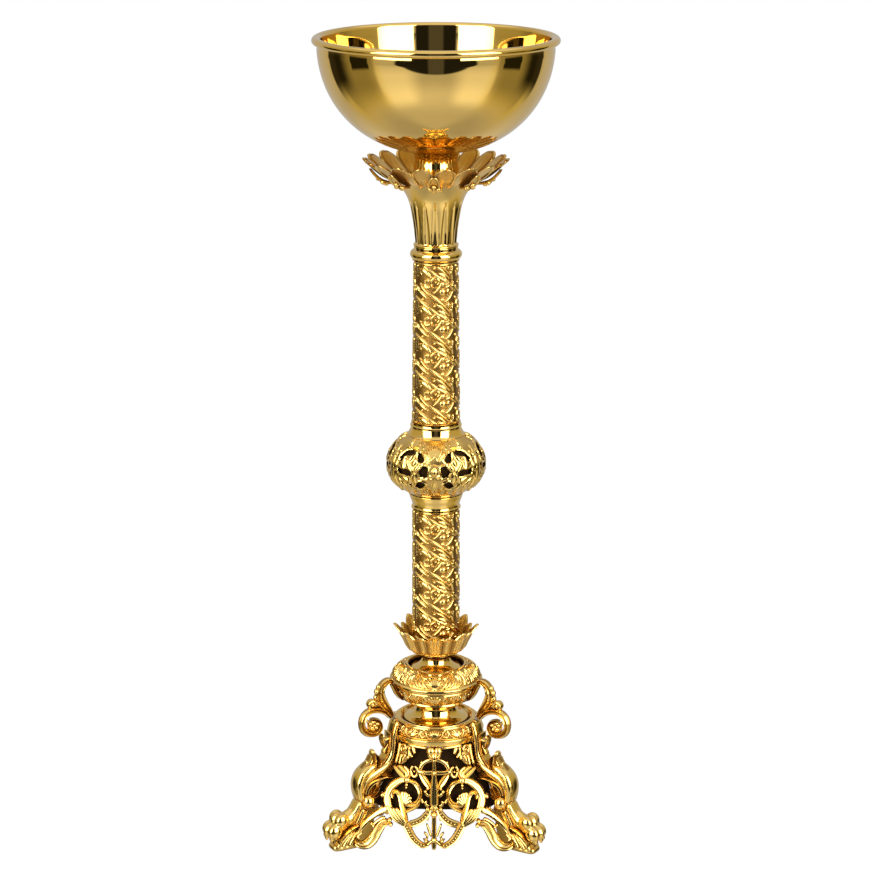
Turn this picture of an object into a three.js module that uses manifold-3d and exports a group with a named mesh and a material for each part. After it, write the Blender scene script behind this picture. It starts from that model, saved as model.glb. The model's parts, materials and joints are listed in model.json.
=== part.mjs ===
// A standing holy water stoup in brass: a polished bowl that lifts out of a
// petal cup, on a turned and pierced stem, on a tripod with lion-paw feet.
// Millimetres, +Z up. The origin is on the floor, on the axis of the stem.

import * as THREE from 'three';
import { mergeVertices } from 'three/addons/utils/BufferGeometryUtils.js';
import Module from 'manifold-3d';

const wasm = await Module();
wasm.setup();

// Clearances
const SEAT_GAP = 0.3; // between faces that rest on each other
const FIT_GAP = 0.3; // round a rod, spigot, screw or pin in its hole
const OVERRUN = 5; // how far a cutter passes the face that it cuts

// Facets round a turned piece
const STEM_STEPS = 24;
const BOWL_STEPS = 36;
const SMALL_STEPS = 12;

// Bowl
const BOWL_RADIUS = 146.5; // outside, under the lip
const BOWL_DEPTH = 143.8; // underside to the top of the lip
const BOWL_BELLY = 140; // underside to where the side stands upright
const BOWL_FULLNESS = 0.93; // 1 is a part of an ellipse, less is fuller
const BOWL_WALL = 2;
const BOWL_SEAT_RADIUS = 24; // flat under the bowl
const LIP_WIDTH = 12; // rolled lip, across
const LIP_HEIGHT = 10;
const BOWL_COLLAR_HEIGHT = 27.1;
const BOWL_COLLAR_RADIUS = 26.8;
const BOWL_COLLAR_FLARE = 2.2; // extra radius at the top
const BOWL_COLLAR_BORE = 12;
const SEAL_THICKNESS = 1.5;
const UNDER_SEAL_RADIUS = 22;
const INNER_SEAL_RADIUS = 11;
const BOWL_SCREW_RADIUS = 4;
const BOWL_SCREW_REACH = 20; // length of thread inside the spigot
const BOWL_SCREW_HEAD_RADIUS = 10;
const BOWL_SCREW_HEAD_HEIGHT = 5;
const SPIGOT_RADIUS = 15.7;
const SPIGOT_LENGTH = 34;
const SPIGOT_FLANGE_RADIUS = 24;
const SPIGOT_FLANGE = 3;

// Socket and petals under the bowl
const SOCKET_DEPTH = 52; // below its flange
const SOCKET_WALL = 3;
const SOCKET_FLOOR = 4;
const SOCKET_FLANGE_RADIUS = 27;
const SOCKET_FLANGE = 3;
const PETAL_COUNT = 18;
const PETAL_REACH = 89.4;
const PETAL_RISE = 30; // tips above the underside of the cup
const PETAL_NOTCH = 11; // depth of the notch between petals
const PETAL_HUB_RADIUS = 40;
const PETAL_FLOOR = 2.5;
const LEAF_STEP_IN = 11.4; // the small leaves end this far inside the petals
const LEAF_STEP_DOWN = 12; // and this far below them
const LEAF_HUB_STEP = 6; // and their hub is this much wider
const LEAF_NOTCH = 9;
const LEAF_FLOOR = 2.5;

// Trumpet neck and the ring under it
const TRUMPET_HEIGHT = 74;
const TRUMPET_FOOT_RADIUS = 26;
const TRUMPET_MOUTH_RADIUS = 45.1;
const TRUMPET_WALL = 3.5;
const COLUMN_RING_HEIGHT = 18.6;
const COLUMN_RING_RADIUS = 33;
const COLUMN_RING_NECK = 29.5;

// Columns
const UPPER_COLUMN_LENGTH = 206;
const UPPER_COLUMN_TOP_RADIUS = 28;
const UPPER_COLUMN_FOOT_RADIUS = 30.2;
const LOWER_COLUMN_LENGTH = 186;
const LOWER_COLUMN_RADIUS = 30;
const COLUMN_WALL = 3.5;
const COLUMN_FILLET = 1; // plain rings that stand proud at the ends
const COLUMN_FILLET_HEIGHT = 7;
const STEM_BORE = 20; // through the collars and the ring

// Pierced knop and its collars
const KNOP_HEIGHT = 70.5;
const KNOP_RADIUS = 63.5;
const KNOP_MOUTH_RADIUS = 47.5;
const KNOP_SEAT_RADIUS = 36;
const KNOP_WALL = 3.5;
const KNOP_REPEATS = 6;
const KNOP_ROUNDEL_RADIUS = 21.5; // one round opening with three lights
const KNOP_LIGHT_RADIUS = 9;
const KNOP_SLEEVE_RADIUS = 12;
const UPPER_COLLAR_HEIGHT = 22.5;
const UPPER_COLLAR_NECK = 31.5;
const LOWER_COLLAR_HEIGHT = 20.3;
const LOWER_COLLAR_RADIUS = 35;
const LOWER_COLLAR_NECK = 30.5;

// Leaf calyx, leaf knop and the necks
const CALYX_LEAVES = 8;
const CALYX_REACH = 53.5;
const CALYX_HEIGHT = 35;
const CALYX_NOTCH = 9;
const CALYX_WALL = 3;
const CALYX_FLOOR = 5;
const CALYX_NECK_HEIGHT = 62.6;
const CALYX_NECK_RADIUS = 20.5;
const CALYX_NECK_FLARE = 5; // extra radius at both ends
const LEAF_KNOP_HEIGHT = 50;
const LEAF_KNOP_RADIUS = 59.6;
const LEAF_KNOP_FOOT_RADIUS = 33;
const LEAF_KNOP_MOUTH_RADIUS = 36;
const LEAF_KNOP_WALL = 4;
const BASE_NECK_HEIGHT = 29.6;
const BASE_NECK_RADIUS = 26.5;
const BASE_NECK_FLARE = 4.5;
const NECK_BORE = 13;

// Cap, band and ring of the base
const BAND_HEIGHT = 15;
const BAND_FOOT_RADIUS = 60;
const BAND_RIM_RADIUS = 51;
const BAND_RIM_WIDTH = 4;
const DISH_DEPTH = 9;
const DISH_RADIUS = 37;
const RING_HEIGHT = 8;
const RING_RADIUS = 62;
const RING_WIDTH = 16;
const RING_EDGE = 1.2;

// Tie rod and its fastenings
const ROD_RADIUS = 5;
const ROD_END = 3.5; // thread past each nut
const NUT_RADIUS = 9.8; // across the corners, halved
const NUT_HEIGHT = 8;
const WASHER_RADIUS = 12;
const WASHER_THICKNESS = 2;
const CLAMP_LAP = 6; // of the clamp plate under the base ring
const CLAMP_THICKNESS = 6;
const LINING_WALL = 1.2; // browned sheet behind the panels
const LINING_INSET = 2; // its top edge, in from the edge of the clamp plate
const LINING_SPREAD = 9; // how much wider it is at its foot
const LINING_FOOT = 54; // its lower edge above the floor

// Tripod
const LEG_ANGLES = { left: 210, right: 330, back: 90 };
const PANEL_ANGLES = { front: 270, right: 30, left: 150 };
const BASE_HEIGHT = 138; // floor to the underside of the base ring
const LEG_THICKNESS = 18;
const LEG_RISE = 28; // top of the leg above the underside of the ring
const LEG_TOP_WIDTH = 9;
const LEG_TOP_INSET = 5; // inner edge of the top, inside the ring's radius
const LEG_LUG = 8; // how far the leg reaches in under the ring
const LEG_STRIP = 7; // strip outside the ring
const KNEE_REACH = 122.5;
const KNEE_HEIGHT = 78;
const KNEE_LEAF_REACH = 92; // tip of the leaf over the knee
const KNEE_LEAF_HEIGHT = 124;
const ANKLE_REACH = 117;
const ANKLE_HEIGHT = 54;
const KNEE_BALL_RADIUS = 13;
const KNEE_BALL_WIDTH = 27;
const KNEE_BALL_REACH = 104;
const KNEE_BALL_HEIGHT = 62;
const LEG_LEAN = 8; // how far the strip leans out below the ring
const LEG_LEAN_DROP = 16; // how far below the ring it does
const KNEE_LEAF_SIZE = 11; // free tip of the leaf
const SHOULDER_RISE = 20; // round of the shoulder above the knee
const SHOULDER_INSET = 8;
const WEB_REACH = 82; // inner edge of the leg at the knee
const WEB_DROP = 25; // where it comes in under the ring
const INSTEP_HEIGHT = 22; // hollow behind the sole
const INSTEP_DEPTH = 12;
const SOLE_BACK = 100;
const PAW_REACH = 161;
const SOLE_INSET = 9; // front of the sole, in from the tips of the toes
const TOE_RADIUS = 10.5;
const TOE_HEIGHT = 27;
const TOE_PITCH = 11.5;
const KNUCKLE_RADIUS = 11.5;
const KNUCKLE_HEIGHT = 45;
const KNUCKLE_INSET = 19; // middle of the knuckles, in from the tips of the toes
const LEG_SCREW_RADIUS = 2;
const LEG_SCREW_REACH = 4.5; // thread inside the leg
const LEG_SCREW_HEAD_RADIUS = 3.4;
const LEG_SCREW_HEAD_HEIGHT = 3;

// Pierced panels between the legs
const PANEL_INSET = 3; // middle of the casting inside the edge of the base ring
const PANEL_FOOT_DEPTH = 77; // from the axis, at the floor
const PANEL_FLAT_HEIGHT = 20; // below this the panel is flat
const PANEL_CASTING = 5; // thickness of the scrolls
const RELIEF_STEP = 1.6; // straps that cross differ in thickness by this
const RAIL_HEIGHT = 6;
const RAIL_LENGTH = 116;
const SHAFT_WIDTH = 8;
const SHAFT_FOOT = 5; // bottom of the central shaft above the floor
const CROSS_HEIGHT = 108;
const CROSS_SPAN = 60;
const CROSS_RING_RADIUS = 15;
const CROSS_RING_WIDTH = 4;
const STRAP_WIDTH = 6;
const ROUNDEL_RADIUS = 19; // middle of the strap
const ROUNDEL_OFFSET = 40;
const ROUNDEL_HEIGHT = 75;
const PALMETTE_RADIUS = 9;
const CROSSING_OFFSET = 36; // where the two bands cross, from the shaft
const CROSSING_HEIGHT = 35;
const BAND_SPRING = 53; // where the upper band leaves the shaft
const BAND_BEND_OFFSET = 82; // its bend beside the leg
const BAND_BEND_HEIGHT = 15;
const BAND_END_OFFSET = 108; // its end at the foot
const LOWER_BEND_OFFSET = 26; // bend of the lower band, beside the palmette
const LOWER_BEND_HEIGHT = 12;
const STAY_INSET = 39; // outer end of the stay, in from the reach of the paws
const STAY_HEIGHT = 17;
const KNOT_LEAN = 12; // the strap over the roundel leans out to the rail

// Scroll brackets beside the leaf knop
const BRACKET_THICKNESS = 10;
const BRACKET_STRAP = 8;
const BRACKET_RISE = 51; // middle of the strap at the top of the arch, above the leg
const BRACKET_SPAN = 22; // of the arch, out from the leaf knop
const BRACKET_WAIST = 33; // where the volute springs from the stem, below the arch
const VOLUTE_REACH = 93; // centre of the volute
const VOLUTE_DROP = 3; // below the top of the leg
const VOLUTE_RADIUS = 17.5; // middle of the strap at its start
const VOLUTE_SPACING = 11.7; // between one turn and the next
const BUD_RADIUS = 5;
const BUD_WIDTH = 7;
const PIN_RADIUS = 2;
const PIN_DEPTH = 8; // into the leg and into the bracket

// Heights of the seats, from the floor up
const ringZ = BASE_HEIGHT;
const bandZ = ringZ + RING_HEIGHT + SEAT_GAP;
const bandTopZ = bandZ + BAND_HEIGHT;
const baseNeckZ = bandTopZ - DISH_DEPTH + SEAT_GAP;
const leafKnopZ = baseNeckZ + BASE_NECK_HEIGHT + SEAT_GAP;
const calyxNeckZ = leafKnopZ + LEAF_KNOP_WALL + SEAT_GAP;
const calyxZ = calyxNeckZ + CALYX_NECK_HEIGHT + SEAT_GAP;
const lowerColumnZ = calyxZ + CALYX_FLOOR + SEAT_GAP;
const lowerCollarZ = lowerColumnZ + LOWER_COLUMN_LENGTH + SEAT_GAP;
const knopZ = lowerCollarZ + LOWER_COLLAR_HEIGHT + SEAT_GAP;
const upperCollarZ = knopZ + KNOP_HEIGHT + SEAT_GAP;
const upperColumnZ = upperCollarZ + UPPER_COLLAR_HEIGHT + SEAT_GAP;
const columnRingZ = upperColumnZ + UPPER_COLUMN_LENGTH + SEAT_GAP;
const trumpetZ = columnRingZ + COLUMN_RING_HEIGHT + SEAT_GAP;
const leafCupZ = trumpetZ + TRUMPET_HEIGHT + SEAT_GAP;
const petalCupZ = leafCupZ + LEAF_FLOOR + SEAT_GAP;
const socketFlangeZ = petalCupZ + PETAL_FLOOR + SEAT_GAP;
const socketFootZ = socketFlangeZ - SOCKET_DEPTH;
const spigotFlangeZ = socketFlangeZ + SOCKET_FLANGE + SEAT_GAP;
const bowlCollarZ = spigotFlangeZ + SPIGOT_FLANGE + SEAT_GAP;
const underSealZ = bowlCollarZ + BOWL_COLLAR_HEIGHT + SEAT_GAP;
const bowlZ = underSealZ + SEAL_THICKNESS + SEAT_GAP;
const innerSealZ = bowlZ + BOWL_WALL + SEAT_GAP;
const bowlScrewZ = innerSealZ + SEAL_THICKNESS + SEAT_GAP;
const topWasherZ = socketFootZ + SOCKET_FLOOR + SEAT_GAP;
const topNutZ = topWasherZ + WASHER_THICKNESS + SEAT_GAP;
const rodTopZ = topNutZ + NUT_HEIGHT + ROD_END;
const clampZ = ringZ - SEAT_GAP - CLAMP_THICKNESS;
const liningZ = clampZ - SEAT_GAP - LINING_WALL;
const bottomWasherZ = liningZ - SEAT_GAP - WASHER_THICKNESS;
const bottomNutZ = bottomWasherZ - SEAT_GAP - NUT_HEIGHT;
const rodFootZ = bottomNutZ - ROD_END;
const legTopZ = ringZ + LEG_RISE;
const soleFront = PAW_REACH - SOLE_INSET;
const knuckleReach = PAW_REACH - KNUCKLE_INSET;
const stayOffset = PAW_REACH - STAY_INSET;
const legScrewZ = ringZ + RING_HEIGHT / 2;

// Fits shared by more than one piece
const rodHole = ROD_RADIUS + FIT_GAP;
const screwHole = BOWL_SCREW_RADIUS + FIT_GAP;
const socketBore = SPIGOT_RADIUS + FIT_GAP;
const socketRadius = socketBore + SOCKET_WALL;
const socketHole = socketRadius + FIT_GAP;
const ringBore = RING_RADIUS - RING_WIDTH;
const legInner = RING_RADIUS + SEAT_GAP;
const panelTopDepth = RING_RADIUS - PANEL_INSET;
const railZ = ringZ - SEAT_GAP - RAIL_HEIGHT / 2;
const pinReach = RING_RADIUS - LEG_TOP_INSET + LEG_TOP_WIDTH / 2;

// Finishes
const polishedBrass = new THREE.MeshStandardMaterial({ color: 0xd6a648, roughness: 0.12, metalness: 1 });
const castBrass = new THREE.MeshStandardMaterial({ color: 0xc9993f, roughness: 0.3, metalness: 1 });
const steel = new THREE.MeshStandardMaterial({ color: 0x9a9c9f, roughness: 0.4, metalness: 1 });
const darkBrass = new THREE.MeshStandardMaterial({ color: 0x3a2414, roughness: 0.6, metalness: 1 });
const rubber = new THREE.MeshStandardMaterial({ color: 0x1b1b1b, roughness: 0.9, metalness: 0 });

// Geometry helpers

function closed(geometry) {
  geometry.deleteAttribute('normal');
  geometry.deleteAttribute('uv');
  return mergeVertices(geometry, 1e-4);
}

function solid(geometry) {
  const merged = closed(geometry);
  const vertProperties = new Float32Array(merged.attributes.position.array);
  const triVerts = new Uint32Array(merged.index.array);
  return new wasm.Manifold(new wasm.Mesh({ numProp: 3, vertProperties, triVerts }));
}

function geometryOf(body) {
  const mesh = body.getMesh();
  const geometry = new THREE.BufferGeometry();
  geometry.setAttribute('position', new THREE.BufferAttribute(new Float32Array(mesh.vertProperties), 3));
  geometry.setIndex(new THREE.BufferAttribute(new Uint32Array(mesh.triVerts), 1));
  return geometry;
}

function joined(geometries) {
  return geometries.map(solid).reduce((whole, next) => whole.add(next));
}

function moved(geometry, place) {
  const position = geometry.attributes.position;
  const point = new THREE.Vector3();
  for (let i = 0; i < position.count; i += 1) {
    place(point.fromBufferAttribute(position, i));
    position.setXYZ(i, point.x, point.y, point.z);
  }
  return geometry;
}

// Twice the signed area of an outline of [x, y] points, positive when it runs anticlockwise.
function turning(outline) {
  return outline.reduce((sum, [x, y], i) => {
    const [nextX, nextY] = outline[(i + 1) % outline.length];
    return sum + x * nextY - nextX * y;
  }, 0);
}

// A turned piece from an outline of [radius, height] points. An outline that
// doesn't start on the axis is closed on itself.
function turned(outline, steps) {
  const onAxis = outline[0][0] === 0;
  const ordered = turning(outline) > 0 ? outline : outline.slice().reverse();
  const loop = onAxis ? ordered : [...ordered, ordered[0]];
  const points = loop.map(([radius, height]) => new THREE.Vector2(radius, height));
  return new THREE.LatheGeometry(points, steps).rotateX(Math.PI / 2);
}

function tube(bore, radius, low, high, steps) {
  return turned([[bore, low], [radius, low], [radius, high], [bore, high]], steps);
}

// Points along a smooth curve through the given [radius, height] points.
function curve(points, steps) {
  const spline = new THREE.SplineCurve(points.map(([x, y]) => new THREE.Vector2(x, y)));
  return spline.getPoints(steps).map((point) => [point.x, point.y]);
}

// Points on an arc, angles in degrees.
function arc(x, y, radius, from, to, steps) {
  return Array.from({ length: steps + 1 }, (_, i) => {
    const angle = THREE.MathUtils.degToRad(from + (to - from) * i / steps);
    return [x + radius * Math.cos(angle), y + radius * Math.sin(angle)];
  });
}

// A cup whose rim is drawn in between its petals.
function scalloped(outline, { count, stepsEach, hub, reach, notch, drop }) {
  const cup = turned(outline, count * stepsEach);
  return moved(cup, (point) => {
    const radius = Math.hypot(point.x, point.y);
    const share = THREE.MathUtils.clamp((radius - hub) / (reach - hub), 0, 1);
    const between = 1 - Math.abs(Math.cos(Math.atan2(point.y, point.x) * count / 2));
    const inward = 1 - notch * share * share * between ** 2 / radius;
    point.x *= inward;
    point.y *= inward;
    point.z -= drop * share * share * between ** 2;
  });
}

// A flat piece drawn in X and Y, stood up in the plane of radius and height.
function upright(flat) {
  return flat.rotateX(Math.PI / 2);
}

function plate(outline, thickness) {
  const shape = new THREE.Shape(outline.map(([x, y]) => new THREE.Vector2(x, y)));
  const sheet = new THREE.ExtrudeGeometry(shape, { depth: thickness, bevelEnabled: false });
  return sheet.translate(0, 0, -thickness / 2);
}

// A flat strap along a line of [x, y] points, with its thickness along Z.
function strap(line, width, thickness) {
  const last = line.length - 1;
  const bar = new THREE.BoxGeometry(last, width, thickness, last, 1, 1);
  return moved(bar, (point) => {
    const i = Math.round(point.x + last / 2);
    const [fromX, fromY] = line[Math.max(i - 1, 0)];
    const [toX, toY] = line[Math.min(i + 1, last)];
    const length = Math.hypot(toX - fromX, toY - fromY);
    const across = point.y / length;
    point.x = line[i][0] - (toY - fromY) * across;
    point.y = line[i][1] + (toX - fromX) * across;
  });
}

// A flat ring, and a flat disc, with their thickness along Z.
function ring(x, y, radius, width, thickness, steps) {
  const half = thickness / 2;
  return tube(radius - width / 2, radius + width / 2, -half, half, steps).translate(x, y, 0);
}

function disc(x, y, radius, thickness, steps) {
  return new THREE.CylinderGeometry(radius, radius, thickness, steps).rotateX(Math.PI / 2).translate(x, y, 0);
}

// A bar along the radius of a leg.
function radialBar(radius, from, to, height, steps) {
  const bar = new THREE.CylinderGeometry(radius, radius, to - from, steps);
  return bar.rotateZ(Math.PI / 2).translate((from + to) / 2, 0, height);
}

function uprightBar(radius, reach, low, high, steps) {
  const bar = new THREE.CylinderGeometry(radius, radius, high - low, steps);
  return bar.rotateX(Math.PI / 2).translate(reach, 0, (low + high) / 2);
}

// Bowl pieces

// Side of the bowl, a little fuller than a part of an ellipse.
function belly(centreZ, inset, from, to, steps) {
  return arc(0, 0, 1, from, to, steps).map(([across, up]) => [
    (BOWL_RADIUS - inset) * across ** BOWL_FULLNESS,
    centreZ - (BOWL_BELLY - inset) * Math.abs(up) ** BOWL_FULLNESS,
  ]);
}

function bowl() {
  const centreZ = bowlZ + BOWL_BELLY;
  const lipZ = bowlZ + BOWL_DEPTH - LIP_HEIGHT / 2;
  const seatAngle = THREE.MathUtils.radToDeg(Math.asin(BOWL_SEAT_RADIUS / BOWL_RADIUS)) * 1.3 - 90;
  const lipAngle = THREE.MathUtils.radToDeg(Math.asin((lipZ - LIP_HEIGHT / 2 - centreZ) / BOWL_RADIUS));
  const lip = arc(0, 0, 1, -70, 250, 6).map(([across, up]) => [
    BOWL_RADIUS + across * LIP_WIDTH / 2,
    lipZ + up * LIP_HEIGHT / 2,
  ]);
  return turned([
    [screwHole, bowlZ],
    [BOWL_SEAT_RADIUS, bowlZ],
    ...belly(centreZ, 0, seatAngle, lipAngle, 6),
    ...lip,
    ...belly(centreZ, BOWL_WALL, lipAngle, seatAngle, 6),
    [BOWL_SEAT_RADIUS, bowlZ + BOWL_WALL],
    [screwHole, bowlZ + BOWL_WALL],
  ], BOWL_STEPS);
}

function bowlCollar() {
  const top = bowlCollarZ + BOWL_COLLAR_HEIGHT;
  const side = curve([
    [BOWL_COLLAR_RADIUS, bowlCollarZ],
    [BOWL_COLLAR_RADIUS, bowlCollarZ + BOWL_COLLAR_HEIGHT / 2],
    [BOWL_COLLAR_RADIUS + BOWL_COLLAR_FLARE, top],
  ], 5);
  return turned([[BOWL_COLLAR_BORE, bowlCollarZ], ...side, [BOWL_COLLAR_BORE, top]], STEM_STEPS);
}

function bowlSpigot() {
  const foot = spigotFlangeZ - SPIGOT_LENGTH;
  const top = spigotFlangeZ + SPIGOT_FLANGE;
  const holeFoot = top - BOWL_SCREW_REACH - FIT_GAP;
  return turned([
    [0, foot],
    [SPIGOT_RADIUS, foot],
    [SPIGOT_RADIUS, spigotFlangeZ],
    [SPIGOT_FLANGE_RADIUS, spigotFlangeZ],
    [SPIGOT_FLANGE_RADIUS, top],
    [screwHole, top],
    [screwHole, holeFoot],
    [0, holeFoot],
  ], SMALL_STEPS);
}

function bowlScrew() {
  const foot = spigotFlangeZ + SPIGOT_FLANGE - BOWL_SCREW_REACH;
  const top = bowlScrewZ + BOWL_SCREW_HEAD_HEIGHT;
  return turned([
    [0, foot],
    [BOWL_SCREW_RADIUS, foot],
    [BOWL_SCREW_RADIUS, bowlScrewZ],
    [BOWL_SCREW_HEAD_RADIUS, bowlScrewZ],
    [BOWL_SCREW_HEAD_RADIUS * 0.8, top - BOWL_SCREW_HEAD_HEIGHT * 0.3],
    [0, top],
  ], SMALL_STEPS);
}

function seal(radius, low) {
  return tube(screwHole, radius, low, low + SEAL_THICKNESS, SMALL_STEPS);
}

// Socket, petals and trumpet neck

function bowlSocket() {
  const floor = socketFootZ + SOCKET_FLOOR;
  const top = socketFlangeZ + SOCKET_FLANGE;
  return turned([
    [rodHole, socketFootZ],
    [socketRadius, socketFootZ],
    [socketRadius, socketFlangeZ],
    [SOCKET_FLANGE_RADIUS, socketFlangeZ],
    [SOCKET_FLANGE_RADIUS, top],
    [socketBore, top],
    [socketBore, floor],
    [rodHole, floor],
  ], SMALL_STEPS);
}

// A saucer of leaves: a flat hub that curves up to its rim.
function saucer(low, { hub, reach, rise, wall }) {
  const rim = low + rise;
  const middle = hub + (reach - hub) * 0.5;
  const under = [[hub, low], [middle, low + rise * 0.28], [reach, rim - wall]];
  const over = [[reach, rim], [middle, low + rise * 0.28 + wall], [hub, low + wall]];
  return [[socketHole, low], ...under, ...over, [socketHole, low + wall]];
}

function petalCup() {
  const size = { hub: PETAL_HUB_RADIUS, reach: PETAL_REACH, rise: PETAL_RISE, wall: PETAL_FLOOR };
  const notch = { notch: PETAL_NOTCH, drop: PETAL_NOTCH / 2 };
  const outline = saucer(petalCupZ, size);
  return scalloped(outline, { count: PETAL_COUNT, stepsEach: 4, ...size, ...notch });
}

function leafCup() {
  const size = {
    hub: PETAL_HUB_RADIUS + LEAF_HUB_STEP,
    reach: PETAL_REACH - LEAF_STEP_IN,
    rise: PETAL_RISE - LEAF_STEP_DOWN,
    wall: LEAF_FLOOR,
  };
  const notch = { notch: LEAF_NOTCH, drop: LEAF_NOTCH / 2 };
  const outline = saucer(leafCupZ, size);
  return scalloped(outline, { count: PETAL_COUNT, stepsEach: 2, ...size, ...notch });
}

function trumpetNeck() {
  const swell = TRUMPET_MOUTH_RADIUS - TRUMPET_FOOT_RADIUS;
  const flare = [[0, 0], [0.05, 0.2], [0.23, 0.52], [0.55, 0.83], [1, 1]].map(([out, up]) => [
    TRUMPET_FOOT_RADIUS + swell * out,
    trumpetZ + TRUMPET_HEIGHT * up,
  ]);
  const outside = curve(flare, 6);
  const inside = outside.map(([radius, height]) => [radius - TRUMPET_WALL, height]).reverse();
  return turned([...outside, ...inside], STEM_STEPS);
}

function columnRing() {
  const top = columnRingZ + COLUMN_RING_HEIGHT;
  const swell = COLUMN_RING_RADIUS - COLUMN_RING_NECK;
  const bead = arc(0, 0, 1, -90, 90, 6).map(([out, up]) => [
    COLUMN_RING_NECK + swell * out,
    columnRingZ + COLUMN_RING_HEIGHT * (0.45 + 0.35 * up),
  ]);
  return turned([
    [STEM_BORE, columnRingZ],
    [COLUMN_RING_NECK, columnRingZ],
    ...bead,
    [COLUMN_RING_NECK, top],
    [STEM_BORE, top],
  ], STEM_STEPS);
}

// Columns: tubes with a plain proud ring at each end that shows.
function upperColumn() {
  const low = upperColumnZ;
  const high = low + UPPER_COLUMN_LENGTH;
  return turned([
    [UPPER_COLUMN_TOP_RADIUS - COLUMN_WALL, low],
    [UPPER_COLUMN_FOOT_RADIUS + COLUMN_FILLET, low],
    [UPPER_COLUMN_FOOT_RADIUS + COLUMN_FILLET, low + COLUMN_FILLET_HEIGHT],
    [UPPER_COLUMN_FOOT_RADIUS, low + COLUMN_FILLET_HEIGHT],
    [UPPER_COLUMN_TOP_RADIUS, high - COLUMN_FILLET_HEIGHT],
    [UPPER_COLUMN_TOP_RADIUS + COLUMN_FILLET, high - COLUMN_FILLET_HEIGHT],
    [UPPER_COLUMN_TOP_RADIUS + COLUMN_FILLET, high],
    [UPPER_COLUMN_TOP_RADIUS - COLUMN_WALL, high],
  ], STEM_STEPS);
}

function lowerColumn() {
  const low = lowerColumnZ;
  const high = low + LOWER_COLUMN_LENGTH;
  return turned([
    [LOWER_COLUMN_RADIUS - COLUMN_WALL, low],
    [LOWER_COLUMN_RADIUS, low],
    [LOWER_COLUMN_RADIUS, high - COLUMN_FILLET_HEIGHT],
    [LOWER_COLUMN_RADIUS + COLUMN_FILLET, high - COLUMN_FILLET_HEIGHT],
    [LOWER_COLUMN_RADIUS + COLUMN_FILLET, high],
    [LOWER_COLUMN_RADIUS - COLUMN_WALL, high],
  ], STEM_STEPS);
}

// Pierced knop

function knopSide() {
  const middle = knopZ + KNOP_HEIGHT / 2;
  return curve([
    [KNOP_SEAT_RADIUS, knopZ],
    [KNOP_RADIUS * 0.87, knopZ + KNOP_HEIGHT * 0.2],
    [KNOP_RADIUS, middle],
    [KNOP_RADIUS * 0.93, knopZ + KNOP_HEIGHT * 0.79],
    [KNOP_MOUTH_RADIUS, knopZ + KNOP_HEIGHT],
  ], 7);
}

function piercedKnop() {
  const outside = knopSide();
  const inside = outside.slice(1, -1).map(([radius, height]) => [radius - KNOP_WALL, height]).reverse();
  const top = knopZ + KNOP_HEIGHT;
  const shell = turned([
    [rodHole, knopZ],
    ...outside,
    [rodHole, top],
    [rodHole, top - KNOP_WALL],
    [KNOP_MOUTH_RADIUS - KNOP_WALL, top - KNOP_WALL],
    ...inside.filter(([, height]) => height < top - KNOP_WALL && height > knopZ + KNOP_WALL),
    [KNOP_SEAT_RADIUS - KNOP_WALL, knopZ + KNOP_WALL],
    [rodHole, knopZ + KNOP_WALL],
  ], STEM_STEPS);
  let knop = solid(shell);
  for (let i = 0; i < KNOP_REPEATS; i += 1) {
    const turn = i * 2 * Math.PI / KNOP_REPEATS;
    for (const [across, up] of arc(0, 0, KNOP_ROUNDEL_RADIUS - KNOP_LIGHT_RADIUS, 90, 330, 2)) {
      const light = radialBar(KNOP_LIGHT_RADIUS, KNOP_SLEEVE_RADIUS * 2, KNOP_RADIUS * 1.2, 0, 6);
      light.translate(0, across, knopZ + KNOP_HEIGHT / 2 + up).rotateZ(turn);
      knop = knop.subtract(solid(light));
    }
  }
  return geometryOf(knop);
}

function knopSleeve() {
  const low = knopZ + KNOP_WALL + SEAT_GAP;
  const high = knopZ + KNOP_HEIGHT - KNOP_WALL - SEAT_GAP;
  return tube(rodHole, KNOP_SLEEVE_RADIUS, low, high, SMALL_STEPS);
}

function upperCollar() {
  const top = upperCollarZ + UPPER_COLLAR_HEIGHT;
  const fall = KNOP_MOUTH_RADIUS - UPPER_COLLAR_NECK;
  const cove = [[1, 0.08], [0.4, 0.2], [0.14, 0.42], [0, 0.7]].map(([out, up]) => [
    UPPER_COLLAR_NECK + fall * out,
    upperCollarZ + UPPER_COLLAR_HEIGHT * up,
  ]);
  return turned([
    [STEM_BORE, upperCollarZ],
    [KNOP_MOUTH_RADIUS, upperCollarZ],
    ...curve(cove, 5),
    [UPPER_COLLAR_NECK + COLUMN_FILLET, upperCollarZ + UPPER_COLLAR_HEIGHT * 0.78],
    [UPPER_COLLAR_NECK + COLUMN_FILLET, top],
    [STEM_BORE, top],
  ], STEM_STEPS);
}

function lowerCollar() {
  const top = lowerCollarZ + LOWER_COLLAR_HEIGHT;
  const rise = LOWER_COLLAR_RADIUS - LOWER_COLLAR_NECK;
  const cove = [[0.3, 0], [0, 0.25], [0.5, 0.6], [1, 0.8]].map(([out, up]) => [
    LOWER_COLLAR_NECK + rise * out,
    lowerCollarZ + LOWER_COLLAR_HEIGHT * up,
  ]);
  return turned([
    [STEM_BORE, lowerCollarZ],
    ...curve(cove, 5),
    [LOWER_COLLAR_RADIUS, top],
    [STEM_BORE, top],
  ], STEM_STEPS);
}

// Calyx, leaf knop and necks

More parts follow.
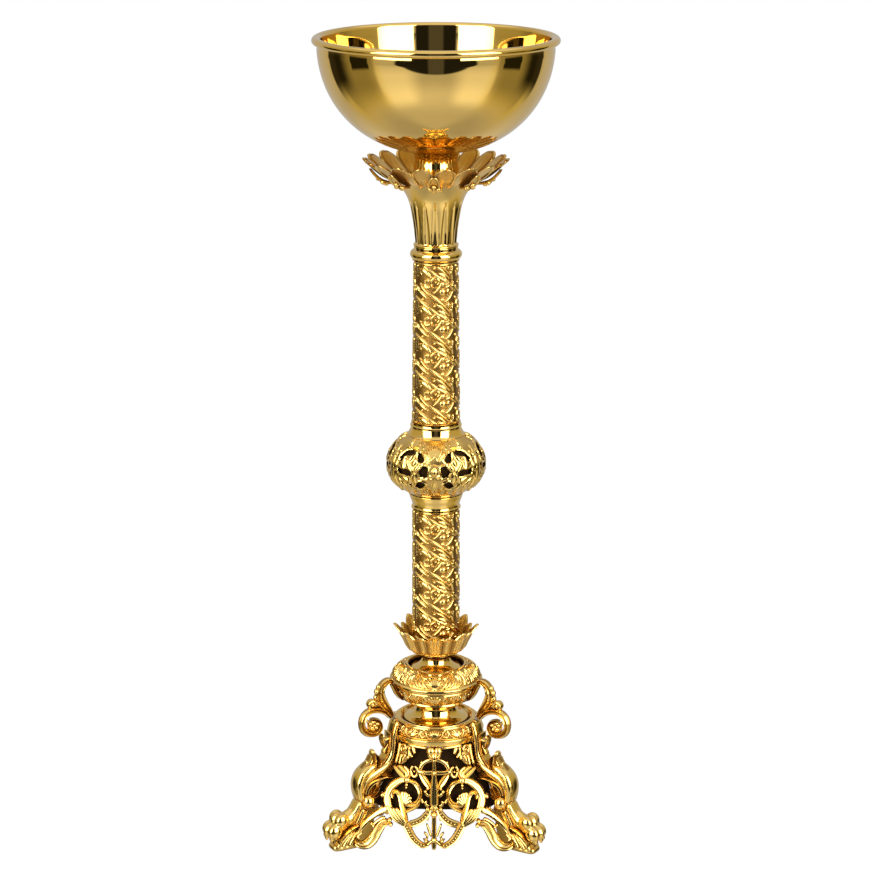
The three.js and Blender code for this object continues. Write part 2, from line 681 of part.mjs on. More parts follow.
function leafCalyx() {
  const columnSeat = LOWER_COLUMN_RADIUS + FIT_GAP;
  const foot = columnSeat + CALYX_WALL;
  const flare = [[0, 0], [0.38, 0.32], [0.74, 0.7], [1, 1]].map(([out, up]) => [
    foot + (CALYX_REACH - foot) * out,
    calyxZ + CALYX_HEIGHT * up,
  ]);
  const outside = curve(flare, 5);
  const inside = outside.slice(2).map(([radius, height]) => [radius - CALYX_WALL, height]).reverse();
  const outline = [
    [rodHole, calyxZ],
    ...outside,
    ...inside,
    [columnSeat, calyxZ + CALYX_FLOOR],
    [rodHole, calyxZ + CALYX_FLOOR],
  ];
  return scalloped(outline, {
    count: CALYX_LEAVES,
    stepsEach: 4,
    hub: foot,
    reach: CALYX_REACH,
    notch: CALYX_NOTCH / 2,
    drop: CALYX_NOTCH,
  });
}

// A spool with a flare at both ends.
function spool(low, height, radius, flare) {
  const side = [[1, 0], [1, 0.08], [0.25, 0.25], [0, 0.5], [0.25, 0.75], [1, 0.92], [1, 1]];
  const outside = side.map(([out, up]) => [radius + flare * out, low + height * up]);
  return turned([[NECK_BORE, low], ...outside, [NECK_BORE, low + height]], STEM_STEPS);
}

function calyxNeck() {
  return spool(calyxNeckZ, CALYX_NECK_HEIGHT, CALYX_NECK_RADIUS, CALYX_NECK_FLARE);
}

function baseNeck() {
  return spool(baseNeckZ, BASE_NECK_HEIGHT, BASE_NECK_RADIUS, BASE_NECK_FLARE);
}

function leafKnop() {
  const top = leafKnopZ + LEAF_KNOP_HEIGHT;
  const floor = leafKnopZ + LEAF_KNOP_WALL;
  const side = curve([
    [LEAF_KNOP_FOOT_RADIUS, leafKnopZ],
    [LEAF_KNOP_RADIUS * 0.87, leafKnopZ + LEAF_KNOP_HEIGHT * 0.24],
    [LEAF_KNOP_RADIUS, leafKnopZ + LEAF_KNOP_HEIGHT * 0.55],
    [LEAF_KNOP_RADIUS * 0.87, leafKnopZ + LEAF_KNOP_HEIGHT * 0.86],
    [LEAF_KNOP_MOUTH_RADIUS, top],
  ], 6);
  const inside = side.map(([radius, height]) => [radius - LEAF_KNOP_WALL, height]).reverse();
  return turned([
    [rodHole, leafKnopZ],
    ...side,
    ...inside.filter(([, height]) => height > floor),
    [LEAF_KNOP_FOOT_RADIUS - LEAF_KNOP_WALL, floor],
    [rodHole, floor],
  ], STEM_STEPS);
}

// Cap and ring of the base

function leafBand() {
  const floor = bandTopZ - DISH_DEPTH;
  const side = curve([
    [BAND_FOOT_RADIUS, bandZ],
    [BAND_FOOT_RADIUS * 0.97, bandZ + BAND_HEIGHT * 0.5],
    [BAND_RIM_RADIUS, bandTopZ],
  ], 4);
  return turned([
    [rodHole, bandZ],
    ...side,
    [BAND_RIM_RADIUS - BAND_RIM_WIDTH, bandTopZ],
    [DISH_RADIUS, floor],
    [rodHole, floor],
  ], STEM_STEPS);
}

function baseRing() {
  const top = ringZ + RING_HEIGHT;
  let ring = solid(turned([
    [ringBore, ringZ],
    [RING_RADIUS - RING_EDGE, ringZ],
    [RING_RADIUS, ringZ + RING_EDGE],
    [RING_RADIUS, top - RING_EDGE],
    [RING_RADIUS - RING_EDGE, top],
    [ringBore, top],
  ], STEM_STEPS));
  for (const angle of Object.values(LEG_ANGLES)) {
    const screw = radialBar(LEG_SCREW_RADIUS + FIT_GAP, ringBore - OVERRUN, legInner + OVERRUN, legScrewZ, 8);
    ring = ring.subtract(solid(screw.rotateZ(THREE.MathUtils.degToRad(angle))));
  }
  return geometryOf(ring);
}

function clampPlate() {
  return tube(rodHole, ringBore + CLAMP_LAP, clampZ, clampZ + CLAMP_THICKNESS, SMALL_STEPS);
}

// A cone of sheet brass, closed at the top, clamped under the plate.
function baseLining() {
  const top = ringBore + CLAMP_LAP - LINING_INSET;
  const foot = top + LINING_SPREAD;
  return turned([
    [rodHole, liningZ],
    [top - LINING_WALL, liningZ],
    [foot - LINING_WALL, LINING_FOOT],
    [foot, LINING_FOOT],
    [top, liningZ + LINING_WALL],
    [rodHole, liningZ + LINING_WALL],
  ], STEM_STEPS);
}

function washer(low) {
  return tube(rodHole, WASHER_RADIUS, low, low + WASHER_THICKNESS, SMALL_STEPS);
}

function nut(low) {
  const hexagon = solid(uprightBar(NUT_RADIUS, 0, low, low + NUT_HEIGHT, 6));
  return geometryOf(hexagon.subtract(solid(uprightBar(rodHole, 0, low - NUT_HEIGHT, rodTopZ, SMALL_STEPS))));
}

// Tripod, each piece made on the +X side and turned to its place

function legOutline() {
  const lugZ = ringZ - SEAT_GAP;
  const stripReach = legInner + LEG_STRIP;
  const topInner = RING_RADIUS - LEG_TOP_INSET;
  const outside = curve([
    [topInner + LEG_TOP_WIDTH, legTopZ],
    [stripReach, ringZ + RING_HEIGHT],
    [stripReach + LEG_LEAN, ringZ - LEG_LEAN_DROP],
  ], 4);
  const leafTip = [
    [KNEE_LEAF_REACH - KNEE_LEAF_SIZE / 3, KNEE_LEAF_HEIGHT - KNEE_LEAF_SIZE / 2],
    [KNEE_LEAF_REACH, KNEE_LEAF_HEIGHT],
  ];
  const knee = curve([
    [KNEE_LEAF_REACH + KNEE_LEAF_SIZE / 3, KNEE_LEAF_HEIGHT - KNEE_LEAF_SIZE],
    [KNEE_REACH - SHOULDER_INSET, KNEE_HEIGHT + SHOULDER_RISE],
    [KNEE_REACH, KNEE_HEIGHT],
    [ANKLE_REACH, ANKLE_HEIGHT],
    [knuckleReach - KNUCKLE_RADIUS, KNUCKLE_HEIGHT],
  ], 8);
  const inside = curve([
    [SOLE_BACK, 0],
    [SOLE_BACK - INSTEP_DEPTH, INSTEP_HEIGHT],
    [WEB_REACH, KNEE_HEIGHT],
    [RING_RADIUS - LEG_LUG, ringZ - WEB_DROP],
  ], 6);
  return [
    ...outside,
    ...leafTip,
    ...knee,
    [soleFront, TOE_HEIGHT],
    [soleFront, 0],
    ...inside,
    [RING_RADIUS - LEG_LUG, lugZ],
    [legInner, lugZ],
    [legInner, bandZ + BAND_HEIGHT * 0.1],
    [topInner, bandTopZ],
    [topInner, legTopZ],
  ];
}

// The paw: three toes, each with its knuckle.
function paw(grow) {
  const lumps = [];
  for (const side of [-1, 0, 1]) {
    const toe = new THREE.SphereGeometry(TOE_RADIUS + grow, 8, 5);
    const splay = 1 - 0.03 * Math.abs(side);
    lumps.push(toe.translate((PAW_REACH - TOE_RADIUS) * splay, side * TOE_PITCH, TOE_HEIGHT));
    const knuckle = new THREE.SphereGeometry(KNUCKLE_RADIUS + grow, 8, 5);
    lumps.push(knuckle.translate(knuckleReach * splay, side * TOE_PITCH, KNUCKLE_HEIGHT));
  }
  return joined(lumps);
}

function kneeBall(grow) {
  const ball = new THREE.CylinderGeometry(
    KNEE_BALL_RADIUS + grow,
    KNEE_BALL_RADIUS + grow,
    KNEE_BALL_WIDTH + 2 * grow,
    SMALL_STEPS,
  );
  return solid(ball.translate(KNEE_BALL_REACH, 0, KNEE_BALL_HEIGHT));
}

function leg() {
  const web = solid(upright(plate(legOutline(), LEG_THICKNESS)));
  const screwEnd = legInner + LEG_SCREW_REACH + FIT_GAP;
  const screw = radialBar(LEG_SCREW_RADIUS + FIT_GAP, legInner - OVERRUN, screwEnd, legScrewZ, 8);
  const pinEnd = legTopZ - PIN_DEPTH - FIT_GAP;
  const pin = uprightBar(PIN_RADIUS + FIT_GAP, pinReach, pinEnd, legTopZ + OVERRUN, 8);
  const whole = web.add(paw(0)).add(kneeBall(0));
  return geometryOf(whole.subtract(solid(screw)).subtract(solid(pin)));
}

function legScrew() {
  const seat = ringBore * Math.cos(Math.PI / STEM_STEPS) - SEAT_GAP;
  const length = legInner - seat + LEG_SCREW_REACH;
  const screw = turned([
    [0, -LEG_SCREW_HEAD_HEIGHT],
    [LEG_SCREW_HEAD_RADIUS, -LEG_SCREW_HEAD_HEIGHT],
    [LEG_SCREW_HEAD_RADIUS, 0],
    [LEG_SCREW_RADIUS, 0],
    [LEG_SCREW_RADIUS, length],
    [0, length],
  ], 8);
  return screw.rotateY(Math.PI / 2).translate(seat, 0, legScrewZ);
}

function bracketPin() {
  return uprightBar(PIN_RADIUS, pinReach, legTopZ - PIN_DEPTH, legTopZ + SEAT_GAP + PIN_DEPTH, 8);
}

function bracket() {
  const footZ = legTopZ + SEAT_GAP;
  const knopSeat = LEAF_KNOP_RADIUS + SEAT_GAP * 2;
  const archZ = legTopZ + BRACKET_RISE;
  const waistZ = archZ - BRACKET_WAIST;
  const voluteZ = legTopZ - VOLUTE_DROP;
  const stem = curve([
    [knopSeat, archZ - BRACKET_STRAP * 0.75],
    [knopSeat + BRACKET_SPAN * 0.64, archZ],
    [knopSeat + BRACKET_SPAN, archZ - BRACKET_SPAN * 0.64],
    [knopSeat + BRACKET_SPAN * 0.66, waistZ],
    [pinReach, footZ + PIN_DEPTH],
  ], 11);
  const volute = Array.from({ length: 15 }, (_, i) => {
    const turn = 30 * i;
    const angle = THREE.MathUtils.degToRad(100 - turn);
    const radius = VOLUTE_RADIUS - VOLUTE_SPACING * turn / 360;
    return [VOLUTE_REACH + radius * Math.cos(angle), voluteZ + radius * Math.sin(angle)];
  });
  const body = joined([
    upright(strap([...stem, [pinReach, footZ]], BRACKET_STRAP, BRACKET_THICKNESS)),
    upright(strap([stem[8], ...volute], BRACKET_STRAP * 0.8, BRACKET_THICKNESS - RELIEF_STEP)),
    upright(disc(VOLUTE_REACH + BUD_RADIUS, voluteZ + VOLUTE_RADIUS + BUD_RADIUS, BUD_RADIUS, BUD_WIDTH, 8)),
  ]);
  const hole = uprightBar(PIN_RADIUS + FIT_GAP, pinReach, footZ - OVERRUN, footZ + PIN_DEPTH + FIT_GAP, 8);
  return geometryOf(body.subtract(solid(hole)));
}

// The panel is drawn flat, in width and height, and then bent: round like the
// base ring at the top, flat at the foot.
function bent(flat) {
  return moved(flat, (point) => {
    const height = point.y;
    const share = THREE.MathUtils.clamp((height - PANEL_FLAT_HEIGHT) / (ringZ - PANEL_FLAT_HEIGHT), 1e-6, 1);
    const bend = share / panelTopDepth;
    const depth = PANEL_FOOT_DEPTH + (panelTopDepth - PANEL_FOOT_DEPTH) * height / ringZ;
    const angle = point.x * bend;
    const out = 1 / bend + point.z;
    point.set(depth - 1 / bend + out * Math.cos(angle), out * Math.sin(angle), height);
  });
}

// A level strap across the middle of the panel.
function crossbar(length, height, width, thickness, steps) {
  const line = Array.from({ length: steps + 1 }, (_, i) => [length * (i / steps - 0.5), height]);
  return strap(line, width, thickness);
}

function panelMiddle() {
  const shaft = [[0, railZ], [0, ROUNDEL_HEIGHT], [0, SHAFT_FOOT]];
  return [
    crossbar(RAIL_LENGTH, railZ, RAIL_HEIGHT, PANEL_CASTING + RELIEF_STEP, 9),
    strap(shaft, SHAFT_WIDTH, PANEL_CASTING + 2 * RELIEF_STEP),
    crossbar(CROSS_SPAN, CROSS_HEIGHT, STRAP_WIDTH, PANEL_CASTING + RELIEF_STEP, 3),
    ring(0, CROSS_HEIGHT, CROSS_RING_RADIUS, CROSS_RING_WIDTH, PANEL_CASTING - RELIEF_STEP, 8),
    disc(0, SHAFT_FOOT + PALMETTE_RADIUS, PALMETTE_RADIUS, PANEL_CASTING - RELIEF_STEP, 6),
  ];
}

// The scrollwork on one side of the shaft.
function panelSide(side) {
  const mirrored = (points) => points.map(([x, y]) => [side * x, y]);
  const spring = [ROUNDEL_OFFSET + ROUNDEL_RADIUS * 0.8, ROUNDEL_HEIGHT - ROUNDEL_RADIUS * 0.8];
  const lower = curve(mirrored([
    spring,
    [CROSSING_OFFSET, CROSSING_HEIGHT],
    [LOWER_BEND_OFFSET, LOWER_BEND_HEIGHT],
    [0, SHAFT_FOOT + PALMETTE_RADIUS],
  ]), 6);
  const crossing = curve(mirrored([
    [0, BAND_SPRING],
    [CROSSING_OFFSET, CROSSING_HEIGHT],
    [BAND_BEND_OFFSET, BAND_BEND_HEIGHT],
    [BAND_END_OFFSET, SHAFT_FOOT],
  ]), 7);
  const stay = curve(mirrored([spring, [stayOffset, STAY_HEIGHT]]), 2);
  const knot = curve(mirrored([
    [ROUNDEL_OFFSET, ROUNDEL_HEIGHT + ROUNDEL_RADIUS],
    [ROUNDEL_OFFSET, CROSS_HEIGHT],
    [ROUNDEL_OFFSET + KNOT_LEAN, railZ],
  ]), 3);
  const flowerZ = ROUNDEL_HEIGHT - PALMETTE_RADIUS;
  return [
    ring(side * ROUNDEL_OFFSET, ROUNDEL_HEIGHT, ROUNDEL_RADIUS, STRAP_WIDTH, PANEL_CASTING, 12),
    disc(side * ROUNDEL_OFFSET, flowerZ, PALMETTE_RADIUS, PANEL_CASTING - RELIEF_STEP, 6),
    strap(lower, STRAP_WIDTH, PANEL_CASTING + RELIEF_STEP),
    strap(crossing, STRAP_WIDTH, PANEL_CASTING - RELIEF_STEP),
    strap(stay, STRAP_WIDTH, PANEL_CASTING + 2 * RELIEF_STEP),
    strap(knot, STRAP_WIDTH, PANEL_CASTING - RELIEF_STEP),
  ];
}

// Everything between the sides of the two legs next to the panel.
function bay() {
  const half = LEG_THICKNESS / 2 + SEAT_GAP;
  const far = PAW_REACH * 2;
  const apex = half / Math.sin(Math.PI / 3);
  const spread = (far - apex) * Math.tan(Math.PI / 3);
  return solid(plate([[apex, 0], [far, -spread], [far, spread]], ringZ * 4));
}

function panel() {
  const third = 2 * Math.PI / 3;
  const straps = [...panelMiddle(), ...panelSide(-1), ...panelSide(1)];
  let casting = joined(straps.map(bent)).intersect(bay());
  for (const turn of [-third / 2, third / 2]) {
    for (const neighbour of [paw(SEAT_GAP), kneeBall(SEAT_GAP)]) {
      casting = casting.subtract(neighbour.rotate([0, 0, THREE.MathUtils.radToDeg(turn)]));
    }
  }
  return geometryOf(casting);
}

// Assembly

const stoup = new THREE.Group();

function addPiece(name, geometry, material, degrees = 0) {
  const mesh = new THREE.Mesh(closed(geometry), material);
  mesh.geometry.computeVertexNormals();
  mesh.name = name;
  mesh.rotation.z = THREE.MathUtils.degToRad(degrees);
  stoup.add(mesh);
}

addPiece('bowl', bowl(), polishedBrass);
addPiece('bowl_collar', bowlCollar(), polishedBrass);
addPiece('bowl_spigot', bowlSpigot(), polishedBrass);
addPiece('bowl_screw', bowlScrew(), polishedBrass);
addPiece('bowl_inner_seal', seal(INNER_SEAL_RADIUS, innerSealZ), rubber);
addPiece('bowl_under_seal', seal(UNDER_SEAL_RADIUS, underSealZ), rubber);
addPiece('bowl_socket', bowlSocket(), steel);
addPiece('petal_cup', petalCup(), castBrass);
addPiece('small_leaf_cup', leafCup(), castBrass);
addPiece('trumpet_neck', trumpetNeck(), polishedBrass);
addPiece('column_ring', columnRing(), polishedBrass);
addPiece('upper_column', upperColumn(), castBrass);
addPiece('knop_upper_collar', upperCollar(), polishedBrass);
addPiece('pierced_knop', piercedKnop(), castBrass);
addPiece('knop_sleeve', knopSleeve(), steel);
addPiece('knop_lower_collar', lowerCollar(), polishedBrass);
addPiece('lower_column', lowerColumn(), castBrass);
addPiece('leaf_calyx', leafCalyx(), castBrass);
addPiece('calyx_neck', calyxNeck(), polishedBrass);
addPiece('leaf_knop', leafKnop(), castBrass);
addPiece('base_neck', baseNeck(), polishedBrass);
addPiece('leaf_band', leafBand(), castBrass);
addPiece('base_ring', baseRing(), polishedBrass);
addPiece('clamp_plate', clampPlate(), steel);
addPiece('base_lining', baseLining(), darkBrass);
addPiece('tie_rod', uprightBar(ROD_RADIUS, 0, rodFootZ, rodTopZ, SMALL_STEPS), steel);
addPiece('top_washer', washer(topWasherZ), steel);
addPiece('top_nut', nut(topNutZ), steel);
addPiece('bottom_washer', washer(bottomWasherZ), steel);
addPiece('bottom_nut', nut(bottomNutZ), steel);
for (const [side, degrees] of Object.entries(LEG_ANGLES)) {
  addPiece(`leg_${side}`, leg(), castBrass, degrees);
  addPiece(`leg_screw_${side}`, legScrew(), steel, degrees);
  addPiece(`scroll_bracket_${side}`, bracket(), castBrass, degrees);
  addPiece(`bracket_pin_${side}`, bracketPin(), steel, degrees);
}
for (const [side, degrees] of Object.entries(PANEL_ANGLES)) {
  addPiece(`panel_${side}`, panel(), castBrass, degrees);
}

export default stoup;
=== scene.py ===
"""Holy water stoup in polished brass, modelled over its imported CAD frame.

The file is laid out as an add-on: sizes and finishes are in the settings groups, each group of pieces
has its operator, and main() runs them in order.
"""

import json
import math

import bpy
import numpy as np
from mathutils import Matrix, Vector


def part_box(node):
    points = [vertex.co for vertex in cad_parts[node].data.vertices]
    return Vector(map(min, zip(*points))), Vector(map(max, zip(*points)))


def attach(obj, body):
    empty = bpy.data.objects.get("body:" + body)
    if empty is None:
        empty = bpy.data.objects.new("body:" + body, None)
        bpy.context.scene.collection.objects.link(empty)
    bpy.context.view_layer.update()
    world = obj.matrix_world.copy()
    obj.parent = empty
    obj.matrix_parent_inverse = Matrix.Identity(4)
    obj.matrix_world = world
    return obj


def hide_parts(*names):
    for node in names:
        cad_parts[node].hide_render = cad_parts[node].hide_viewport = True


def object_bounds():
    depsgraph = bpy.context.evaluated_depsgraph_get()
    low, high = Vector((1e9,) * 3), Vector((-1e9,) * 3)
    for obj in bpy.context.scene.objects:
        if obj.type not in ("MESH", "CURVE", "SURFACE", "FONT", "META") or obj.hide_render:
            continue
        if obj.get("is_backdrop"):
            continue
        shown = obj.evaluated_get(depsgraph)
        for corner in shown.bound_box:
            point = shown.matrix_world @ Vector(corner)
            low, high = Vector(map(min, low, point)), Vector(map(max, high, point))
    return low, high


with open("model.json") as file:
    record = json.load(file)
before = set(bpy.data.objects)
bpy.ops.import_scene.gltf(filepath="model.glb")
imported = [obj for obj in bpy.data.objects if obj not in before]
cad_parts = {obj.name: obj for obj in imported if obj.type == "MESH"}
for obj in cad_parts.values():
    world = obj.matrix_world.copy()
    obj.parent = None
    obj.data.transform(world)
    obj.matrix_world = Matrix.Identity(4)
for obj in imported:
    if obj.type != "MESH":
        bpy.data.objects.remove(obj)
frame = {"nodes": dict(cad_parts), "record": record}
CAD_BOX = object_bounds()

bl_info = {
    "name": "Holy Water Stoup",
    "version": (1, 0, 0),
    "blender": (4, 5, 0),
    "location": "View3D > Sidebar > Stoup",
    "description": "Builds a standing brass holy water stoup around its CAD frame",
    "category": "Add Mesh",
}

MM = 0.001
TURN = 2 * math.pi
SEAM_GAP = 0.002 * MM
STRIP_STEP = 1.2
LEG_ANGLES = {"left": 210, "right": 330, "back": 90}
PANEL_ANGLES = {"front": 270, "right": 30, "left": 150}
FINISH_OF_SLOT = {
    "polished_brass": "polished_brass",
    "cast_brass": "cast_brass",
    "dark_brass": "dark_shaded_inside",
    "steel": "plain_steel",
    "rubber": "seal_rubber",
}

# Camera: metres and degrees, and pixels of a square picture
CAMERA_AWAY = 3.4
CAMERA_HEIGHT = 1.4436
CAMERA_BEARING = 2.0
CAMERA_DIP = 14.994
PICTURE_SIDE = 875
FOCAL_PIXELS = 2778.5
SHIFT_PIXELS = 1.5
SENSOR_WIDTH = 36


def node_span(node):
    """Heights of a CAD node's lowest and highest points, in millimetres."""
    low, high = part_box(node)
    return low.z / MM, high.z / MM


# Settings

class BowlSettings(bpy.types.PropertyGroup):
    lip_width: bpy.props.FloatProperty(
        name="Lip width", description="Width of the rolled lip", default=0.0115, unit="LENGTH")
    lip_height: bpy.props.FloatProperty(
        name="Lip height", description="Height of the rolled lip", default=0.0098, unit="LENGTH")
    wall: bpy.props.FloatProperty(
        name="Wall", description="Thickness of the spun bowl", default=0.002, unit="LENGTH")


class StemSettings(bpy.types.PropertyGroup):
    petals: bpy.props.IntProperty(
        name="Petals", description="Petals round the bowl's cup", default=18, min=6)
    petal_width: bpy.props.FloatProperty(
        name="Petal width", description="Widest part of a petal", default=0.0285, unit="LENGTH")
    relief_depth: bpy.props.FloatProperty(
        name="Relief depth", description="Depth of the ornament on the columns", default=0.0019,
        unit="LENGTH")
    column_starts: bpy.props.IntProperty(
        name="Bands", description="Slanting bands that run round a column", default=3, min=1)
    knop_wall: bpy.props.FloatProperty(
        name="Knop wall", description="Thickness of the pierced knop", default=0.0034, unit="LENGTH")


class BaseSettings(bpy.types.PropertyGroup):
    leg_thickness: bpy.props.FloatProperty(
        name="Leg thickness", description="Thickness of the cast legs", default=0.018, unit="LENGTH")
    bracket_thickness: bpy.props.FloatProperty(
        name="Bracket thickness", description="Thickness of the scroll brackets", default=0.011,
        unit="LENGTH")
    panel_thickness: bpy.props.FloatProperty(
        name="Panel thickness", description="Thickness of the pierced panels", default=0.0055,
        unit="LENGTH")


class FinishSettings(bpy.types.PropertyGroup):
    brass: bpy.props.FloatVectorProperty(
        name="Brass", description="Colour of clean brass", default=(0.9, 0.6, 0.175), subtype="COLOR",
        min=0, max=1)
    # Colour of the painted shade in the recesses and creases of cast brass.
    recess_shade: bpy.props.FloatVectorProperty(
        name="Recess", description="Colour of the dark recesses", default=(0.36, 0.19, 0.04),
        subtype="COLOR", min=0, max=1)
    # Near-black colour of the inner faces and dark sheets: unpolished brass, darkened further as painted
    # shade.
    inside: bpy.props.FloatVectorProperty(
        name="Inside", description="Colour of the unpolished inner faces", default=(0.034, 0.016, 0.004),
        subtype="COLOR", min=0, max=1)
    polish: bpy.props.FloatProperty(
        name="Polish", description="Roughness of polished brass", default=0.02, min=0, max=1,
        subtype="FACTOR")
    casting: bpy.props.FloatProperty(
        name="Casting", description="Roughness of cast brass", default=0.12, min=0, max=1,
        subtype="FACTOR")
    satin: bpy.props.FloatProperty(
        name="Satin", description="Roughness that brushing adds to cast brass", default=0.13, min=0, max=1,
        subtype="FACTOR")


class StageSettings(bpy.types.PropertyGroup):
    floor_radius: bpy.props.FloatProperty(
        name="Floor radius", description="Radius of the pale floor", default=6.0, unit="LENGTH")
    boxes: bpy.props.FloatProperty(
        name="Soft boxes", description="Strength of the two soft boxes in front", default=6.0, min=0)
    room: bpy.props.FloatProperty(
        name="Room", description="Strength of the pale room", default=0.72, min=0)


# Shader expressions

class Value:
    """A socket that adds Math nodes when it is used in an expression."""

    def __init__(self, paint, socket):
        self.paint = paint
        self.socket = socket

    def __add__(self, other):
        return self.paint.math("ADD", self, other)

    def __sub__(self, other):
        return self.paint.math("SUBTRACT", self, other)

    def __rsub__(self, other):
        return self.paint.math("SUBTRACT", other, self)

    def __mul__(self, other):
        return self.paint.math("MULTIPLY", self, other)

    __radd__ = __add__
    __rmul__ = __mul__


class Paint:
    """The node tree of one material, or of the world."""

    def __init__(self, owner):
        owner.use_nodes = True
        self.owner = owner
        self.tree = owner.node_tree
        self.shader = self.tree.nodes.get("Principled BSDF") or self.tree.nodes.get("Background")

    def feed(self, socket, value):
        if isinstance(value, Value):
            self.tree.links.new(value.socket, socket)
        else:
            socket.default_value = value

    def node(self, kind, settings, inputs, output=0):
        node = self.tree.nodes.new(kind)
        for key, value in settings.items():
            setattr(node, key, value)
        for key, value in inputs.items():
            self.feed(node.inputs[key], value)
        return Value(self, node.outputs[output])

    def math(self, operation, first, second=0.0):
        return self.node("ShaderNodeMath", {"operation": operation}, {0: first, 1: second})

    def smooth(self, value, low, high):
        inputs = {"Value": value, "From Min": low, "From Max": high}
        return self.node("ShaderNodeMapRange", {"interpolation_type": "SMOOTHSTEP"}, inputs)

    def band(self, value, low, high, soft):
        return self.smooth(value, low - soft, low) * (1 - self.smooth(value, high, high + soft))

    def bump(self, strength, distance, height):
        inputs = {"Strength": strength, "Distance": distance, "Height": height}
        return self.node("ShaderNodeBump", {}, inputs, "Normal")

    def noise(self, scale, detail, place):
        inputs = {"Vector": place, "Scale": scale, "Detail": detail}
        return self.node("ShaderNodeTexNoise", {}, inputs)

    def mix(self, share, first, second):
        return self.node("ShaderNodeMix", {"data_type": "RGBA"}, {0: share, 6: first, 7: second}, 2)

    def place(self):
        return self.node("ShaderNodeTexCoord", {}, {}, "Object")

    def set(self, **inputs):
        for name, value in inputs.items():
            self.feed(self.shader.inputs[name.replace("_", " ")], value)


def colour(values, factor=1.0):
    return tuple(v * factor for v in values) + (1.0,)


def polished_brass():
    """Mirror-polished brass with faint clouding and fine rubbing marks."""
    finish = bpy.context.scene.stoup_finish
    paint = Paint(bpy.data.materials.new("stoup_polished_brass"))
    place = paint.place()
    cloud = paint.noise(14, 3, place)
    rubbed = paint.noise(900, 2, place)
    tint = paint.mix(paint.smooth(cloud, 0.3, 0.75), colour(finish.brass), colour(finish.brass, 0.94))
    paint.set(Metallic=1.0, Base_Color=tint, Roughness=cloud * 0.03 + finish.polish - 0.01)
    paint.set(Normal=paint.bump(0.006, 0.0001, rubbed))
    return paint.owner


def cast_brass(name="stoup_cast_brass", satin=0.0):
    """Cast brass: bright on rubbed ridges, with painted shade in the recesses and creases of its relief."""
    finish = bpy.context.scene.stoup_finish
    paint = Paint(bpy.data.materials.new(name))
    place = paint.place()
    relief = paint.node("ShaderNodeAttribute", {"attribute_name": "relief"}, {}, "Fac")
    cloud = paint.noise(55, 4, place)
    grain = paint.noise(700, 3, place)
    # Ambient occlusion darkens the colour in creases and between parts: painted shade.
    occlusion_shade = paint.node("ShaderNodeAmbientOcclusion", {"samples": 6}, {"Distance": 0.009}, "AO")
    # rubbed: 1 on proud, open ridges, which are rubbed bright; 0 in recesses and occluded places, which
    # take the recess colour as painted shade.
    rubbed = paint.smooth(relief + cloud * 0.3 - 0.15, 0.08, 0.6) * paint.smooth(occlusion_shade, 0.22, 0.75)
    tint = paint.mix(rubbed, colour(finish.recess_shade), colour(finish.brass))
    in_recess = 0.26
    roughness = cloud * 0.04 - rubbed * in_recess + (finish.casting + satin + in_recess)
    paint.set(Metallic=1.0, Base_Color=tint, Roughness=roughness)
    paint.set(Normal=paint.bump(0.05, 0.0003, grain))
    return paint.owner


def satin_brass():
    """Cast brass that is brushed and not polished, on the petals and the calyx."""
    return cast_brass("stoup_satin_brass", bpy.context.scene.stoup_finish.satin)


def dark_shaded_inside():
    """Unpolished brown brass on the inner faces of castings, darkened to near black as painted shade."""
    finish = bpy.context.scene.stoup_finish
    paint = Paint(bpy.data.materials.new("stoup_dark_shaded_inside"))
    blotch = paint.noise(60, 4, paint.place())
    tint = paint.mix(blotch, colour(finish.inside, 0.5), colour(finish.inside))
    paint.set(Metallic=0.0, Base_Color=tint, Roughness=blotch * 0.2 + 0.6, Specular_IOR_Level=0.04)
    return paint.owner


def plain_steel():
    """Grey steel with fine streaks, on the rod, nuts, washers, screws and pins."""
    paint = Paint(bpy.data.materials.new("stoup_plain_steel"))
    streak = paint.noise(220, 4, paint.place())
    tint = paint.mix(streak, (0.42, 0.42, 0.43, 1), (0.6, 0.6, 0.61, 1))
    paint.set(Metallic=1.0, Base_Color=tint, Roughness=streak * 0.25 + 0.22)
    return paint.owner


def seal_rubber():
    """Black rubber with a fine grain, on the seals of the bowl's screw."""
    paint = Paint(bpy.data.materials.new("stoup_seal_rubber"))
    grain = paint.noise(500, 3, paint.place())
    tint = paint.mix(grain, (0.015, 0.015, 0.015, 1), (0.035, 0.034, 0.033, 1))
    paint.set(Base_Color=tint, Roughness=grain * 0.2 + 0.6, Normal=paint.bump(0.2, 0.0003, grain))
    return paint.owner


MATERIAL_MAKERS = {
    "polished_brass": polished_brass,
    "cast_brass": cast_brass,
    "satin_brass": satin_brass,
    "dark_shaded_inside": dark_shaded_inside,
    "plain_steel": plain_steel,
    "seal_rubber": seal_rubber,
}


def material(name):
    """The finish of that name, made once. The frame's own materials have other names."""
    return bpy.data.materials.get("stoup_" + name) or MATERIAL_MAKERS[name]()


# Lines and reliefs, in millimetres

